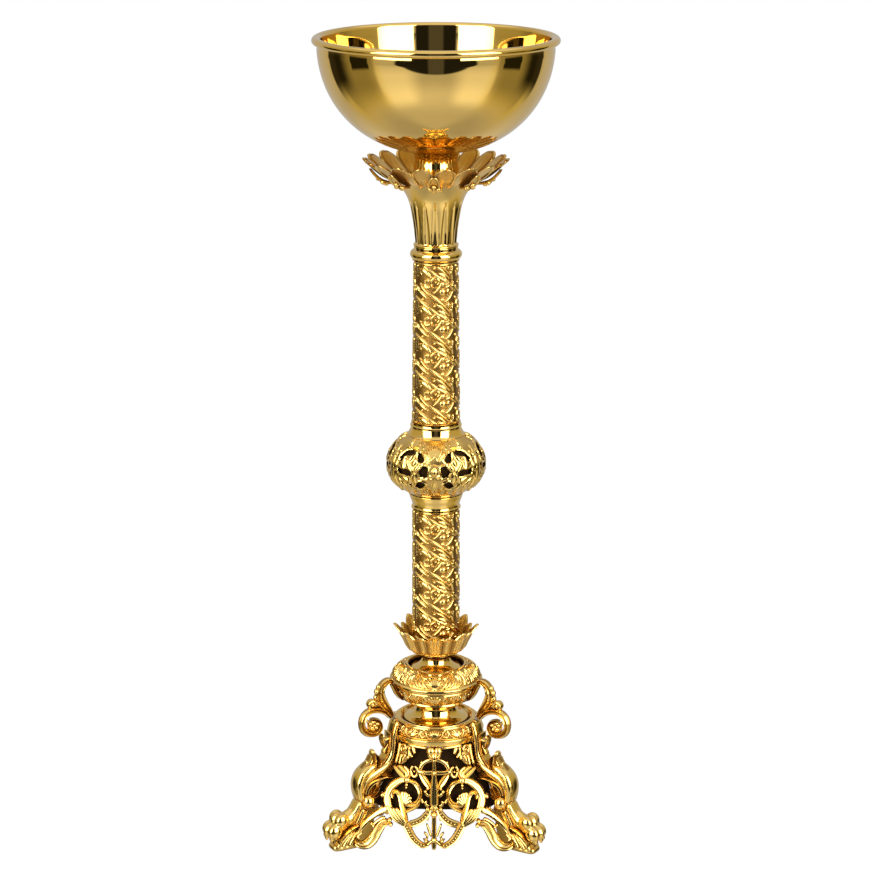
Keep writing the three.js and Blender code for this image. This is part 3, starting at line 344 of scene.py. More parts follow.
def smooth_line(points, count):
    """Evenly run points on a smooth curve through the given ones."""
    points = np.asarray(points, float)
    steps = np.sqrt(np.linalg.norm(np.diff(points, axis=0), axis=1))
    knots = np.concatenate([[0], np.cumsum(steps)])
    slopes = np.gradient(points, knots, axis=0)
    at = np.linspace(0, knots[-1], count * 4)
    i = np.clip(np.searchsorted(knots, at) - 1, 0, len(knots) - 2)
    span = (knots[i + 1] - knots[i])[:, None]
    s = (at - knots[i])[:, None] / span
    start = (2 * s**3 - 3 * s**2 + 1) * points[i] + (s**3 - 2 * s**2 + s) * span * slopes[i]
    end = (3 * s**2 - 2 * s**3) * points[i + 1] + (s**3 - s**2) * span * slopes[i + 1]
    fine = start + end
    run = run_of(fine)
    even = np.linspace(0, run[-1], count)
    return np.stack([np.interp(even, run, fine[:, axis]) for axis in range(points.shape[1])], axis=1)


def arc_line(centre, radius, start, end, count=24, shrink=0.0):
    """Points on an arc, or on a spiral that loses shrink of its radius."""
    share = np.linspace(0, 1, count)
    angle = np.radians(start + (end - start) * share)
    reach = radius - shrink * share
    return np.stack([centre[0] + reach * np.cos(angle), centre[1] + reach * np.sin(angle)], axis=1)


def stroke(x, y, line, half, taper=(1.0, 1.0)):
    """Height from 0 to 1 of a rounded ridge along a line, with tapered ends."""
    line = np.asarray(line, float)
    lengths = np.linalg.norm(np.diff(line, axis=0), axis=1)
    run = np.concatenate([[0], np.cumsum(lengths)]) / lengths.sum()
    height = np.zeros_like(x)
    for i in range(len(line) - 1):
        (ax, ay), (bx, by) = line[i], line[i + 1]
        dx, dy = bx - ax, by - ay
        share = np.clip(((x - ax) * dx + (y - ay) * dy) / (dx * dx + dy * dy), 0, 1)
        away = np.hypot(x - ax - share * dx, y - ay - share * dy)
        at = run[i] + (run[i + 1] - run[i]) * share
        first = taper[0] + (1 - taper[0]) * np.clip(at / 0.35, 0, 1)
        last = taper[1] + (1 - taper[1]) * np.clip((1 - at) / 0.35, 0, 1)
        reach = np.maximum(half * np.minimum(first, last), 1e-3)
        height = np.maximum(height, np.clip(1 - (away / reach) ** 2, 0, 1) ** 0.6)
    return height


def bead(x, y, centre, radius):
    """Height from 0 to 1 of a rounded bead."""
    away = np.hypot(x - centre[0], y - centre[1])
    return np.clip(1 - (away / radius) ** 2, 0, 1) ** 0.6


def strokes(x, y, lines, detail, widen=1.0):
    """The highest of many ridges, each given by its line, half width and taper."""
    ridges = [stroke(x, y, smooth_line(line, detail * len(line)), half * widen, taper)
              for line, half, taper in lines]
    return np.maximum.reduce(ridges)


def fan(x, y, foot, tilts, wide, tall, half, taper, start=0.0):
    """Rays that spread from a foot on the middle line, from a share of their length to their tips."""
    rays = []
    for tilt in np.radians(tilts):
        across, up = wide * math.sin(tilt), tall * math.cos(tilt)
        ray = [(start * across, foot + start * up), (across, foot + up)]
        rays.append(stroke(x, y, ray, half, taper))
    return np.maximum.reduce(rays)


def tiled(x, y, draw, width, height):
    """The highest of a motif and its neighbours, for a pattern that repeats both ways."""
    steps = [(across * width, up * height) for across in (-1, 0, 1) for up in (-1, 0, 1)]
    return np.maximum.reduce([draw(x + across, y + up) for across, up in steps])


def from_front(angle, sector):
    """Angle from the middle of the nearest of equal sectors, one of which faces the front."""
    return (angle + math.pi / 2 + sector / 2) % sector - sector / 2


def lifted(points, height):
    """Points of radius and height, the heights counted from the given one."""
    return np.asarray(points, float) + (0, height)


def run_of(line):
    """Length along a line to each of its points."""
    return np.concatenate([[0], np.cumsum(np.linalg.norm(np.diff(line, axis=0), axis=1))])


def outward(line):
    """Unit normals of a line of radius and height, outwards where the line goes up."""
    ahead = np.gradient(line, axis=0)
    out = np.stack([ahead[:, 1], -ahead[:, 0]], axis=1)
    return out / np.maximum(np.linalg.norm(out, axis=1, keepdims=True), 1e-9)


def along(line, share):
    """Radius, height and outward normal at shares of a line, from 0 to 1."""
    at = share * (len(line) - 1)
    return [np.interp(at, np.arange(len(line)), column) for column in (*line.T, *outward(line).T)]


def around(radius, angle, height):
    """Points round the stem."""
    return np.stack([radius * np.cos(angle), radius * np.sin(angle), height], axis=1)


# Meshes

def deselect():
    if bpy.context.object and bpy.context.object.mode != "OBJECT":
        bpy.ops.object.mode_set(mode="OBJECT")
    bpy.ops.object.select_all(action="DESELECT")


def points_of(piece):
    points = np.zeros(len(piece.data.vertices) * 3)
    piece.data.vertices.foreach_get("co", points)
    return points.reshape(-1, 3)


def lay(piece, points):
    """Put a mesh's points at the given places, in millimetres."""
    piece.data.vertices.foreach_set("co", (np.asarray(points) * MM).ravel())
    piece.data.update()


def set_relief(piece, values):
    """Store how proud each point stands; the cast finish paints shade where it is low."""
    mesh = piece.data
    layer = mesh.attributes.get("relief") or mesh.attributes.new("relief", "FLOAT", "POINT")
    layer.data.foreach_set("value", np.broadcast_to(np.asarray(values, float), len(mesh.vertices)).copy())


def only(piece):
    deselect()
    bpy.context.view_layer.objects.active = piece
    piece.select_set(True)


def named(name):
    """The object that an operator has just made, under its new name."""
    piece = bpy.context.object
    piece.name = name
    piece.data.name = name
    return piece


def close(piece):
    """Merge seams and poles, and turn all faces outwards."""
    only(piece)
    bpy.ops.object.mode_set(mode="EDIT")
    bpy.ops.mesh.select_all(action="SELECT")
    bpy.ops.mesh.remove_doubles(threshold=SEAM_GAP)
    bpy.ops.mesh.dissolve_degenerate(threshold=SEAM_GAP * 0.5)
    bpy.ops.mesh.normals_make_consistent(inside=False)
    bpy.ops.object.mode_set(mode="OBJECT")


def smooth(piece, degrees=50):
    only(piece)
    bpy.ops.object.shade_smooth_by_angle(angle=math.radians(degrees))


def apply_modifier(piece, kind, **settings):
    only(piece)
    modifier = piece.modifiers.new(kind.title(), kind)
    for key, value in settings.items():
        setattr(modifier, key, value)
    bpy.ops.object.modifier_apply(modifier=modifier.name)


def join(name, pieces):
    deselect()
    for piece in pieces:
        piece.select_set(True)
    bpy.context.view_layer.objects.active = pieces[0]
    bpy.ops.object.join()
    return named(name)


def copy_turned(piece, name, degrees):
    """A copy with its own mesh, turned about the stem."""
    only(piece)
    bpy.ops.object.duplicate()
    twin = named(name)
    twin.rotation_euler.z = math.radians(degrees)
    bpy.ops.object.transform_apply(location=True, rotation=True, scale=True)
    return twin


def grid_piece(name, columns, rows, place):
    """A grid whose points are put in place by a function of u and v, each from 0 to 1."""
    deselect()
    bpy.ops.mesh.primitive_grid_add(x_subdivisions=columns, y_subdivisions=rows, size=1)
    piece = named(name)
    u, v = points_of(piece)[:, :2].T + 0.5
    lay(piece, place(u, v))
    return piece


def spun(name, outline, steps=144):
    """A turned piece: a closed outline of radius and height, spun round the stem."""
    deselect()
    bpy.ops.mesh.primitive_circle_add(vertices=len(outline), radius=1)
    piece = named(name)
    outline = np.asarray(outline, float)
    lay(piece, np.stack([outline[:, 0], np.zeros(len(outline)), outline[:, 1]], axis=1))
    bpy.ops.object.mode_set(mode="EDIT")
    bpy.ops.mesh.select_all(action="SELECT")
    bpy.ops.mesh.spin(steps=steps, angle=TURN, center=(0, 0, 0), axis=(0, 0, 1))
    bpy.ops.object.mode_set(mode="OBJECT")
    close(piece)
    set_relief(piece, 1.0)
    smooth(piece, 35)
    return piece


def carved(name, outline, steps, push):
    """A turned piece whose skin is pushed out by push(angle, row): millimetres and relief value."""
    outline = np.asarray(outline, float)
    rows = len(outline) - 1
    out = outward(outline)
    shown = {}

    def place(u, v):
        row = np.rint(v * rows).astype(int)
        angle = u * TURN
        rise, shown["relief"] = push(angle, row)
        radius, height = (outline[row] + out[row] * rise[:, None]).T
        return around(radius, angle, height)

    piece = grid_piece(name, steps, rows, place)
    set_relief(piece, shown["relief"])
    close(piece)
    smooth(piece)
    return piece


def strip(line, width, depth, place, ridges=1, groove=0.35, flat_back=False, rims=False):
    """A cast strip along a flat line, rounded off at its ends and ridged or rimmed along its length."""
    line = np.asarray(line, float)
    length = np.linalg.norm(np.diff(line, axis=0), axis=1).sum()
    count = max(8, int(length / STRIP_STEP))
    line = smooth_line(line, count) if len(line) != count else line
    run = np.linspace(0, length, count)
    width = np.interp(run / length, np.linspace(0, 1, np.size(width)), np.atleast_1d(width))
    blunt = width.max() * 0.5
    from_end = np.clip(np.minimum(run, length - run) / blunt, 0, 1)
    taper = np.sqrt(1 - (1 - from_end) ** 2)
    side = -outward(line)
    half_steps = 15 if rims else 5 + 4 * ridges
    across = np.sin(np.linspace(-1, 1, half_steps) * math.pi / 2)
    edge = np.sqrt(np.clip(1 - np.abs(across) ** 4, 0, 1))
    wave = 0.5 - 0.5 * np.cos(math.pi * ridges * (across + 1))
    if rims:
        wave = 1 - np.clip((0.72 - np.abs(across)) / 0.2, 0, 1)
    flat = ridges == 1 and not rims
    front = edge if flat else edge * (1 - groove * (1 - wave))
    proud = 0.5 + 0.5 * edge if flat else edge * (0.25 + 0.75 * wave)
    back = -edge * 0.5 if flat_back else -front
    loop_across = np.concatenate([across, across[-2::-1]])
    loop_out = np.concatenate([front, back[-2::-1]])
    # Flat backs get half the relief value, so the inner faces of the panels take the recess colour: painted
    # shade.
    loop_relief = np.concatenate([proud, proud[-2::-1] * (0.5 if flat_back else 1)])
    columns = len(loop_across) - 1

    def put(u, v):
        row = np.rint(v * (count - 1)).astype(int)
        column = np.rint(u * columns).astype(int)
        offset = loop_across[column] * width[row] * taper[row] / 2
        drawn = line[row] + side[row] * offset[:, None]
        out = loop_out[column] * depth / 2 * np.sqrt(taper[row])
        put.relief = loop_relief[column]
        return place(drawn[:, 0], out, drawn[:, 1])

    piece = grid_piece("strip", columns, count - 1, put)
    set_relief(piece, put.relief)
    close(piece)
    return piece


def lump(centre, size, place, tilt=0.0, segments=24):
    """A rounded lump: half sizes along the flat line, across the thickness and up."""
    deselect()
    bpy.ops.mesh.primitive_uv_sphere_add(segments=segments, ring_count=segments // 2, radius=1)
    piece = bpy.context.object
    ball = points_of(piece)
    c, s = math.cos(math.radians(tilt)), math.sin(math.radians(tilt))
    reach = ball[:, 0] * size[0]
    up = ball[:, 2] * size[2]
    flat_x = centre[0] + reach * c - up * s
    flat_z = centre[2] + reach * s + up * c
    lay(piece, place(flat_x, centre[1] + ball[:, 1] * size[1], flat_z))
    set_relief(piece, 1.0)
    return piece


def finish_piece(piece, node, finish, body="stand"):
    """Give a piece its finish, and let it stand for its CAD node."""
    if material(finish) not in piece.data.materials[:]:
        piece.data.materials.clear()
        piece.data.materials.append(material(finish))
    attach(piece, body)
    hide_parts(node)


def turned(node, outline):
    """A polished piece of the stem, spun from its outline."""
    finish_piece(spun(node + "_turned", outline), node, "polished_brass")


# Bowl

def bowl_outline(settings):
    """The spun bowl: a little fuller than a part of an ellipse, thicker by the rolled lip."""
    low, high = node_span("bowl")
    reach, fall, easing = 146.5, 140.0, 110.0
    lip_z = high - settings.lip_height / MM / 2
    wall = settings.wall / MM
    half_lip = settings.lip_width / MM / 2
    lip = arc_line((0, 0), 1, -100, 180, 24) * (half_lip, settings.lip_height / MM / 2)
    lip += (reach, lip_z)

    def side(inset, start, end):
        angle = np.radians(np.linspace(start, end, 70))
        radius = (reach - inset) * np.cos(angle) ** 0.93
        return np.stack([radius, low + fall - (fall - inset) * np.sin(angle) ** 0.93], axis=1)

    inside = side(wall, 2.2, 84)
    depth = np.clip(low + fall - inside[:, 1], 0, easing)
    inside[:, 0] -= (half_lip - wall + 0.2 * depth) * (1 - depth / easing) ** 2
    foot = [(5, low + wall), (5, low), (14, low)]
    return np.concatenate([foot, side(0, 84, 4.6), lip, inside])


def collar_outline():
    """A plain polished collar that meets the underside of the bowl."""
    low, high = node_span("bowl_collar")
    cove = smooth_line(np.concatenate([
        lifted([(29, 2), (28, 10)], low), lifted([(26.4, -6), (26.6, -1.4), (28.8, 2.4)], high),
    ]), 24)
    head = lifted([(29.4, 3.8), (28.4, 3.8), (23, 0), (6, 0)], high)
    return np.concatenate([lifted([(6, 0), (28.4, 0), (29, 0.6)], low), cove, head])


class STOUP_OT_bowl(bpy.types.Operator):
    """Spin the bowl with its rolled lip, and the collar under it"""

    bl_idname = "stoup.bowl"
    bl_label = "Bowl"

    def execute(self, context):
        bowl = spun("bowl_shell", bowl_outline(context.scene.stoup_bowl), 256)
        finish_piece(bowl, "bowl", "polished_brass", body="bowl")
        collar = spun("bowl_collar_ring", collar_outline())
        finish_piece(collar, "bowl_collar", "polished_brass", body="bowl")
        return {"FINISHED"}


# Petal cups

def petal(place_line, half_width, wall, rim, waist=0.5, shoulder=0.66):
    """One spoon-shaped petal: a dished sheet with a raised rim, along a line of radius and height."""
    line = smooth_line(place_line, 40)
    shown = {}

    def place(u, v):
        s = np.sin((u - 0.5) * math.pi)
        t = 1 - (1 - v) ** 1.5
        rounded = np.sqrt(np.clip(1 - ((t - shoulder) / (1 - shoulder)) ** 2, 0, 1))
        narrow = waist + (1 - waist) * np.sin(t / shoulder * math.pi / 2)
        broad = np.where(t > shoulder, rounded, narrow)
        half = half_width * broad
        radius, height, out_r, out_z = along(line, t)
        edge = np.minimum((1 - np.abs(s)) * half, (1 - t) * 40)
        ridge = np.exp(-((edge - rim * 0.5) / (rim * 0.6)) ** 2)
        # under: the line just inside the rim where shade is painted.
        under = np.exp(-((edge - rim * 1.9) / (rim * 0.7)) ** 2)
        spine = np.exp(-((s * half) / 1.3) ** 2) * np.clip(1 - t / 0.75, 0, 1)
        dish = np.clip(1 - s * s, 0, 1) * broad
        rise = ridge * rim * 0.9 + spine * 0.9 - dish * 1.5
        # The relief value is high on the rims and the spine, which show bright brass, and dips just inside
        # the rim: painted shade.
        shown["relief"] = np.clip(0.46 + ridge + spine * 0.5 - under * 0.3, 0, 1)
        radius = radius + out_r * rise
        return around(radius, s * half / radius, height + out_z * rise)

    piece = grid_piece("petal", 22, 30, place)
    set_relief(piece, shown["relief"])
    close(piece)
    apply_modifier(piece, "SOLIDIFY", thickness=wall * MM, offset=0.0)
    smooth(piece, 60)
    return piece


def ring_of(piece, count, first):
    """Copies of a piece all round the stem."""
    copies = [copy_turned(piece, f"{piece.name}_{i}", first + 360 * i / count) for i in range(count)]
    bpy.data.objects.remove(piece)
    return copies


def hanging_leaf(low, half):
    """A small leaf with three lobes, between two petals."""
    line = lifted([(50, 5.4), (58, 6), (66, 8), (73, 12.5), (79, 19), (82, 24)], low)
    parts = [petal(line, half, 1.6, 1.3, 0.4, 0.7)]
    lobes = ((62.5, 0, 5.4, 4.2), (66.5, 4.8, 6.8, 3.5), (66.5, -4.8, 6.8, 3.5), (72, 0, 10.6, 3.2))
    for x, y, z, size in lobes:
        parts.append(lump((x, y, low + z), (size, size, size * 0.8), upright, 30, 16))
    return join("leaf", parts)


class STOUP_OT_petals(bpy.types.Operator):
    """Cast the cup of petals under the bowl and the smaller leaves below it"""

    bl_idname = "stoup.petals"
    bl_label = "Petal cups"

    def execute(self, context):
        settings = context.scene.stoup_stem
        count = settings.petals
        half = settings.petal_width / MM / 2
        low, high = node_span("petal_cup")
        line = lifted([(45, 3), (56, 7), (66, 12.5), (75, 19.5), (83, 26.5)], low)
        line = np.concatenate([line, [(90, high + 2.4)]])
        petals = ring_of(petal(line, half, 1.8, 1.5), count, -90 + 180 / count)
        hub = [(21, 0), (44, 0), (49.6, 4), (49.6, 6), (46, 3.4), (21, 3)]
        cup = join("petal_cup_casting", petals + [spun("petal_hub", lifted(hub, low))])
        finish_piece(cup, "petal_cup", "satin_brass")
        low, _ = node_span("small_leaf_cup")
        leaves = ring_of(hanging_leaf(low, half * 0.5), count // 2, -90)
        hub = [(21, 0), (42, 0), (48.6, 5.4), (48.6, 6.6), (45, 2), (21, 2.4)]
        cup = join("small_leaf_casting", leaves + [spun("leaf_hub", lifted(hub, low))])
        finish_piece(cup, "small_leaf_cup", "satin_brass")
        return {"FINISHED"}


# Neck and columns

def trumpet_outline():
    """The flared neck, whose lip stands round the roots of the petals."""
    low, high = node_span("trumpet_neck")
    side = smooth_line(lifted([
        (26.0, 3.5), (26.7, 12), (27.9, 24), (30.2, 39), (32.8, 52), (36.5, 62), (41.2, 70), (46.4, 77),
        (51.6, 82.6),
    ], low), 90)
    foot = lifted([(17, 0), (27.6, 0), (28.2, 0.6), (28.2, 1.6), (27.6, 2.4), (26.4, 2.8)], low)
    lip = lifted([(52.0, 83.4), (51.4, 83.6), (45.6, 78)], low)
    return np.concatenate([foot, side, lip, [(38, high), (17, high), (17, low)]])


def trumpet_flutes(angle, row):
    """Pointed flutes in the lower half of the neck."""
    foot_rows, side_rows, flutes = 6, 90, 16
    share = np.clip((row - foot_rows) / side_rows, 0, 1)
    across = (angle / TURN * flutes + 0.5) % 1 - 0.5
    half = 0.45 * np.clip(1 - (share / 0.66) ** 1.4, 0, 1) * (row > foot_rows)
    hollow = np.clip(1 - (across / np.maximum(half, 1e-3)) ** 2, 0, 1) * (half > 0.01)
    return -hollow * 1.3, 1 - 0.35 * hollow


# Width and height of one length of the columns' ornament, as it is drawn
MOTIF_WIDTH = 58.6
MOTIF_HEIGHT = 47.6


def column_motif(x, y):
    """One length of the columns' ornament: slanting bands with leaves and scrolls between them."""
    lines = [
        ([(-21, -17.5), (-14.5, -25), (-8, -30), (0, -35.5), (7, -41), (14, -47), (20, -54)], 1.7,
         (0.4, 0.4)),
        ([(-24, -26), (-17, -31), (-9, -35.6)], 1.9, (0.3, 0.3)),
        ([(-4, -40.5), (7, -46), (15, -54), (19, -58)], 1.7, (0.2, 0.5)),
        ([(3, -50), (9, -53.4), (15, -58.4)], 2.3, (0.2, 0.4)),
        ([(-29, -35.5), (-21, -40), (-15, -43), (-8.5, -47), (0, -53), (10, -59), (19, -66), (29, -74)],
         1.5, (1, 1)),
        ([(-22, -46.5), (-14, -50), (-5, -56)], 3.0, (0.1, 0.1)),
        ([(-10, -11.5), (-14, -14), (-14.6, -18), (-11.5, -22), (-8.6, -21)], 1.7, (0.5, 0.9)),
        ([(-4.5, -20), (-5.6, -15), (-3.5, -11), (0, -9.6), (3.7, -11), (5.4, -14.6), (3, -17)], 1.6,
         (0.6, 0.6)),
        ([(-3.4, -21.4), (1.6, -21.4)], 1.3, (0.6, 0.6)),
        ([(-2.5, -29), (4, -23), (8.4, -16)], 1.5, (0.4, 1)),
        ([(24, -27), (19, -35), (12.4, -39.4)], 1.7, (0.4, 0.6)),
        ([(17, -24), (17.4, -33)], 1.5, (0.4, 0.5)),
        ([(24.6, -15), (24, -25)], 1.6, (0.5, 0.5)),
        ([(24, 5), (23, -3), (24, -12)], 1.6, (0.3, 0.4)),
        ([(-29, -21), (-22, -28)], 1.7, (0.4, 0.4)),
        ([(-25.5, -37), (-26.4, -46), (-25.6, -56)], 1.5, (0.3, 0.3)),
        ([(12, -11), (17.5, -14), (18.6, -19), (15, -21)], 1.4, (0.4, 0.8)),
        ([(-19, -6), (-20.4, -1), (-15, 2)], 1.4, (0.5, 0.8)),
    ]
    beads = (
        ((10, -17.5), 3.2), ((10, -27.6), 4.4), ((10, -37), 2.7), ((18, -44), 3.3), ((-10, -13), 2.3),
        ((-10, -20.8), 2.0), ((0.6, -14.6), 1.6), ((14.6, -18), 2.0), ((-17, -1), 2.1), ((-1, -44.8), 1.7),
        ((20.5, -51), 1.5), ((-17.4, -37), 1.5),
    )
    round_ones = [bead(x, y, centre, radius) for centre, radius in beads]
    return np.maximum.reduce([strokes(x, y, lines, 3, 1.18)] + round_ones)


def column(node, low_radius, high_radius, motif_height, settings):
    """A relief tube: a thin plain edge at its ends, and the ornament winding round it between them."""
    low, high = node_span(node)
    depth = settings.relief_depth / MM
    rows, margin = 290, 2
    skin = np.linspace(low + margin, high - margin, rows)
    radius = np.interp(skin, [low, high], [low_radius, high_radius])
    foot = [(16, low), (low_radius - 0.5, low), (low_radius - 0.1, low + 0.4),
            (low_radius - 0.1, low + 1.4), (low_radius - 1.0, low + 1.8)]
    head = [(r - low_radius + high_radius, low + high - z) for r, z in foot[::-1]]
    head[-1] = (16, high)
    outline = np.concatenate([foot, np.stack([radius - 1.2, skin], axis=1), head, foot[:1]])
    first = len(foot)
    sector = TURN / settings.column_starts

    def push(angle, row):
        z = outline[row, 1]
        on_skin = (row >= first) & (row < first + rows)
        x = from_front(angle, sector) * (MOTIF_WIDTH / sector)
        y = -((high - 8 - z) / motif_height * MOTIF_HEIGHT % MOTIF_HEIGHT)
        height = tiled(x, y, column_motif, MOTIF_WIDTH, MOTIF_HEIGHT)
        fade = np.clip(np.minimum(z - low - margin, high - margin - z) / 1.2, 0, 1)
        relief = np.where(on_skin, 0.12 + 0.88 * height * fade, 1.0)
        return np.where(on_skin, height * depth * fade, 0), relief

    return carved(node + "_casting", outline, 320, push)


class STOUP_OT_columns(bpy.types.Operator):
    """Turn the trumpet neck and its ring, and cast the two relief columns"""

    bl_idname = "stoup.columns"
    bl_label = "Neck and columns"

    def execute(self, context):
        settings = context.scene.stoup_stem
        neck = carved("trumpet_neck_turned", trumpet_outline(), 192, trumpet_flutes)
        finish_piece(neck, "trumpet_neck", "polished_brass")
        low, high = node_span("column_ring")
        turned("column_ring", np.concatenate([
            lifted([(14, 0), (29.0, 0), (29.4, 0.5), (29.4, 1.8), (28.6, 2.3)], low),
            arc_line((26.6, low + 8.2), 5.9, -72, 72, 24),
            lifted([(27.6, -4.2), (27.4, -2.4), (27.8, -0.5), (27.6, 0), (14, 0)], high),
        ]))
        for node, low_radius, high_radius, motif_height in (
            ("upper_column", 30.0, 27.8, 47.6),
            ("lower_column", 30.2, 29.8, 43.0),
        ):
            tube = column(node, low_radius, high_radius, motif_height, settings)
            finish_piece(tube, node, "cast_brass")
        return {"FINISHED"}


# Knops

KNOP_RADIUS = 63.4
KNOP_MIDDLE = 498.0


def knop_profile():
    return smooth_line([
        (36.4, 462.1), (38.2, 463.7), (47.1, 469), (52.8, 474.3), (59.1, 482.3), (62.3, 490.2),
        (KNOP_RADIUS, 498.1), (62.7, 508.6), (58.3, 519.2), (52.6, 527), (47.4, 532.4), (42.4, 536.4),
        (37.6, 539.4), (35.4, 540.2),
    ], 112)


def outside(x, y, corners):
    """Distance from a flat shape with the given corners, negative inside it."""
    best = np.full_like(x, 1e9)
    within = np.zeros(x.shape, bool)
    for (ax, ay), (bx, by) in zip(corners, corners[1:] + corners[:1]):
        dx, dy = bx - ax, by - ay
        share = np.clip(((x - ax) * dx + (y - ay) * dy) / (dx * dx + dy * dy), 0, 1)
        best = np.minimum(best, np.hypot(x - ax - share * dx, y - ay - share * dy))
        if dy:
            within ^= ((ay > y) != (by > y)) & (x < ax + (y - ay) * dx / dy)
    return np.where(within, -best, best)


KNOP_LIGHTS = (
    [(29.5, 32.4), (37, 33.8), (44, 32.2), (49.5, 29), (52.2, 24.3), (52.6, 20), (51.8, 17), (47.4, 17),
     (46.4, 22.5), (43.5, 25.4), (39.5, 26), (36, 26.6), (32.5, 28.6)],
    [(22, 31.4), (17, 26.4), (14.6, 21.5), (17.2, 18), (21.6, 18.6), (24, 23), (24.6, 29.4)],
    [(9.3, 12.6), (14.4, 13.6), (20.8, 6), (17.2, 0.4), (10.4, -0.8), (8.8, 6)],
    [(53.6, 7.8), (46, 5.8), (38, 7.2), (32.2, 5.6), (32.6, -0.8), (42, 0.2), (52, 0.6)],
    [(12.6, -11), (18, -7.6), (23, -9.6), (26.4, -15.5), (22, -18.6), (16.6, -16.4)],
    [(54, -8.2), (52.4, -9.6), (43.4, -16.8), (45.4, -14)],
)


KNOP_HOLES = ((33.7, -13.8, 1.5), (59.2, 23.6, 1.7), (59.8, 7.2, 1.7))


def knop_openings(x, y):
    """Distance from the pierced openings of the knop, negative inside one."""
    lights = [outside(x, y, corners) for corners in KNOP_LIGHTS]
    holes = [np.hypot(x - across, y - up) - radius for across, up, radius in KNOP_HOLES]
    return np.minimum.reduce(lights + holes) - 0.8


def knop_relief(x, y):
    """Raised rims, leaves, palmettes and buds between the openings."""
    rims = 0.85 * np.exp(-((knop_openings(x, y) - 1.2) / 0.9) ** 2)
    palmette = fan(x, y, 17, (0, 13, 26, 39, 53), 20, 25, 2.0, (0.3, 0.6), 0.32)
    lines = (
        ([(45, 23), (45.6, 15), (43.6, 8)], 4.2, (0.4, 0.4)),
        ([(41, 21), (36.4, 13), (30.2, 5)], 1.5, (0.6, 1)),
        ([(32.6, 26), (37, 19)], 3.0, (0.4, 0.4)),
        ([(26.6, 21), (28.6, 14)], 2.7, (0.5, 0.5)),
        ([(19.6, 15.6), (25.8, 7.4)], 2.5, (0.4, 0.5)),
        ([(25, 3), (26, -4), (24.6, -10)], 4.2, (0.4, 0.3)),
        ([(49, -1.8), (43, -6), (36.4, -8)], 3.6, (0.4, 0.4)),
        ([(33, -3), (34.4, -10)], 2.4, (0.5, 0.5)),
        ([(0, 14.4), (5.4, 12.6), (7.4, 7), (6.6, 1), (0, -1.4)], 1.5, (1, 1)),
        ([(0, 10.6), (0, 1)], 2.8, (0.3, 0.3)),
        ([(0, -3.6), (9.4, -3.6), (18.5, -3)], 1.7, (1, 0.6)),
        ([(0, -5), (0, -33)], 3.6, (0.3, 0.2)),
        ([(8, -17), (12, -24), (10, -33)], 2.2, (0.3, 0.3)),
        ([(33.6, -18), (33.6, -34)], 3.0, (0.3, 0.2)),
        ([(20, -22), (22, -32)], 2.2, (0.3, 0.3)),
        ([(48, -18), (46, -33)], 2.6, (0.3, 0.3)),
        ([(66.4, 36), (66.4, -33)], 4.4, (0.3, 0.3)),
        ([(58, 30), (55.6, 20), (57.6, 10), (61, 2)], 1.7, (0.4, 0.6)),
        ([(58, -4), (60, -14), (57, -26)], 2.2, (0.4, 0.3)),
        ([(28, 38.4), (40, 38.6), (50, 35.6)], 1.4, (0.4, 0.4)),
        ([(19, 38), (21, 47)], 2.0, (0.5, 0.8)),
        ([(28, 43), (29, 51)], 1.8, (0.5, 0.8)),
        ([(44, 41), (46, 51)], 1.8, (0.5, 0.8)),
    )
    return np.maximum.reduce([rims, palmette, strokes(x, y, lines, 4)])


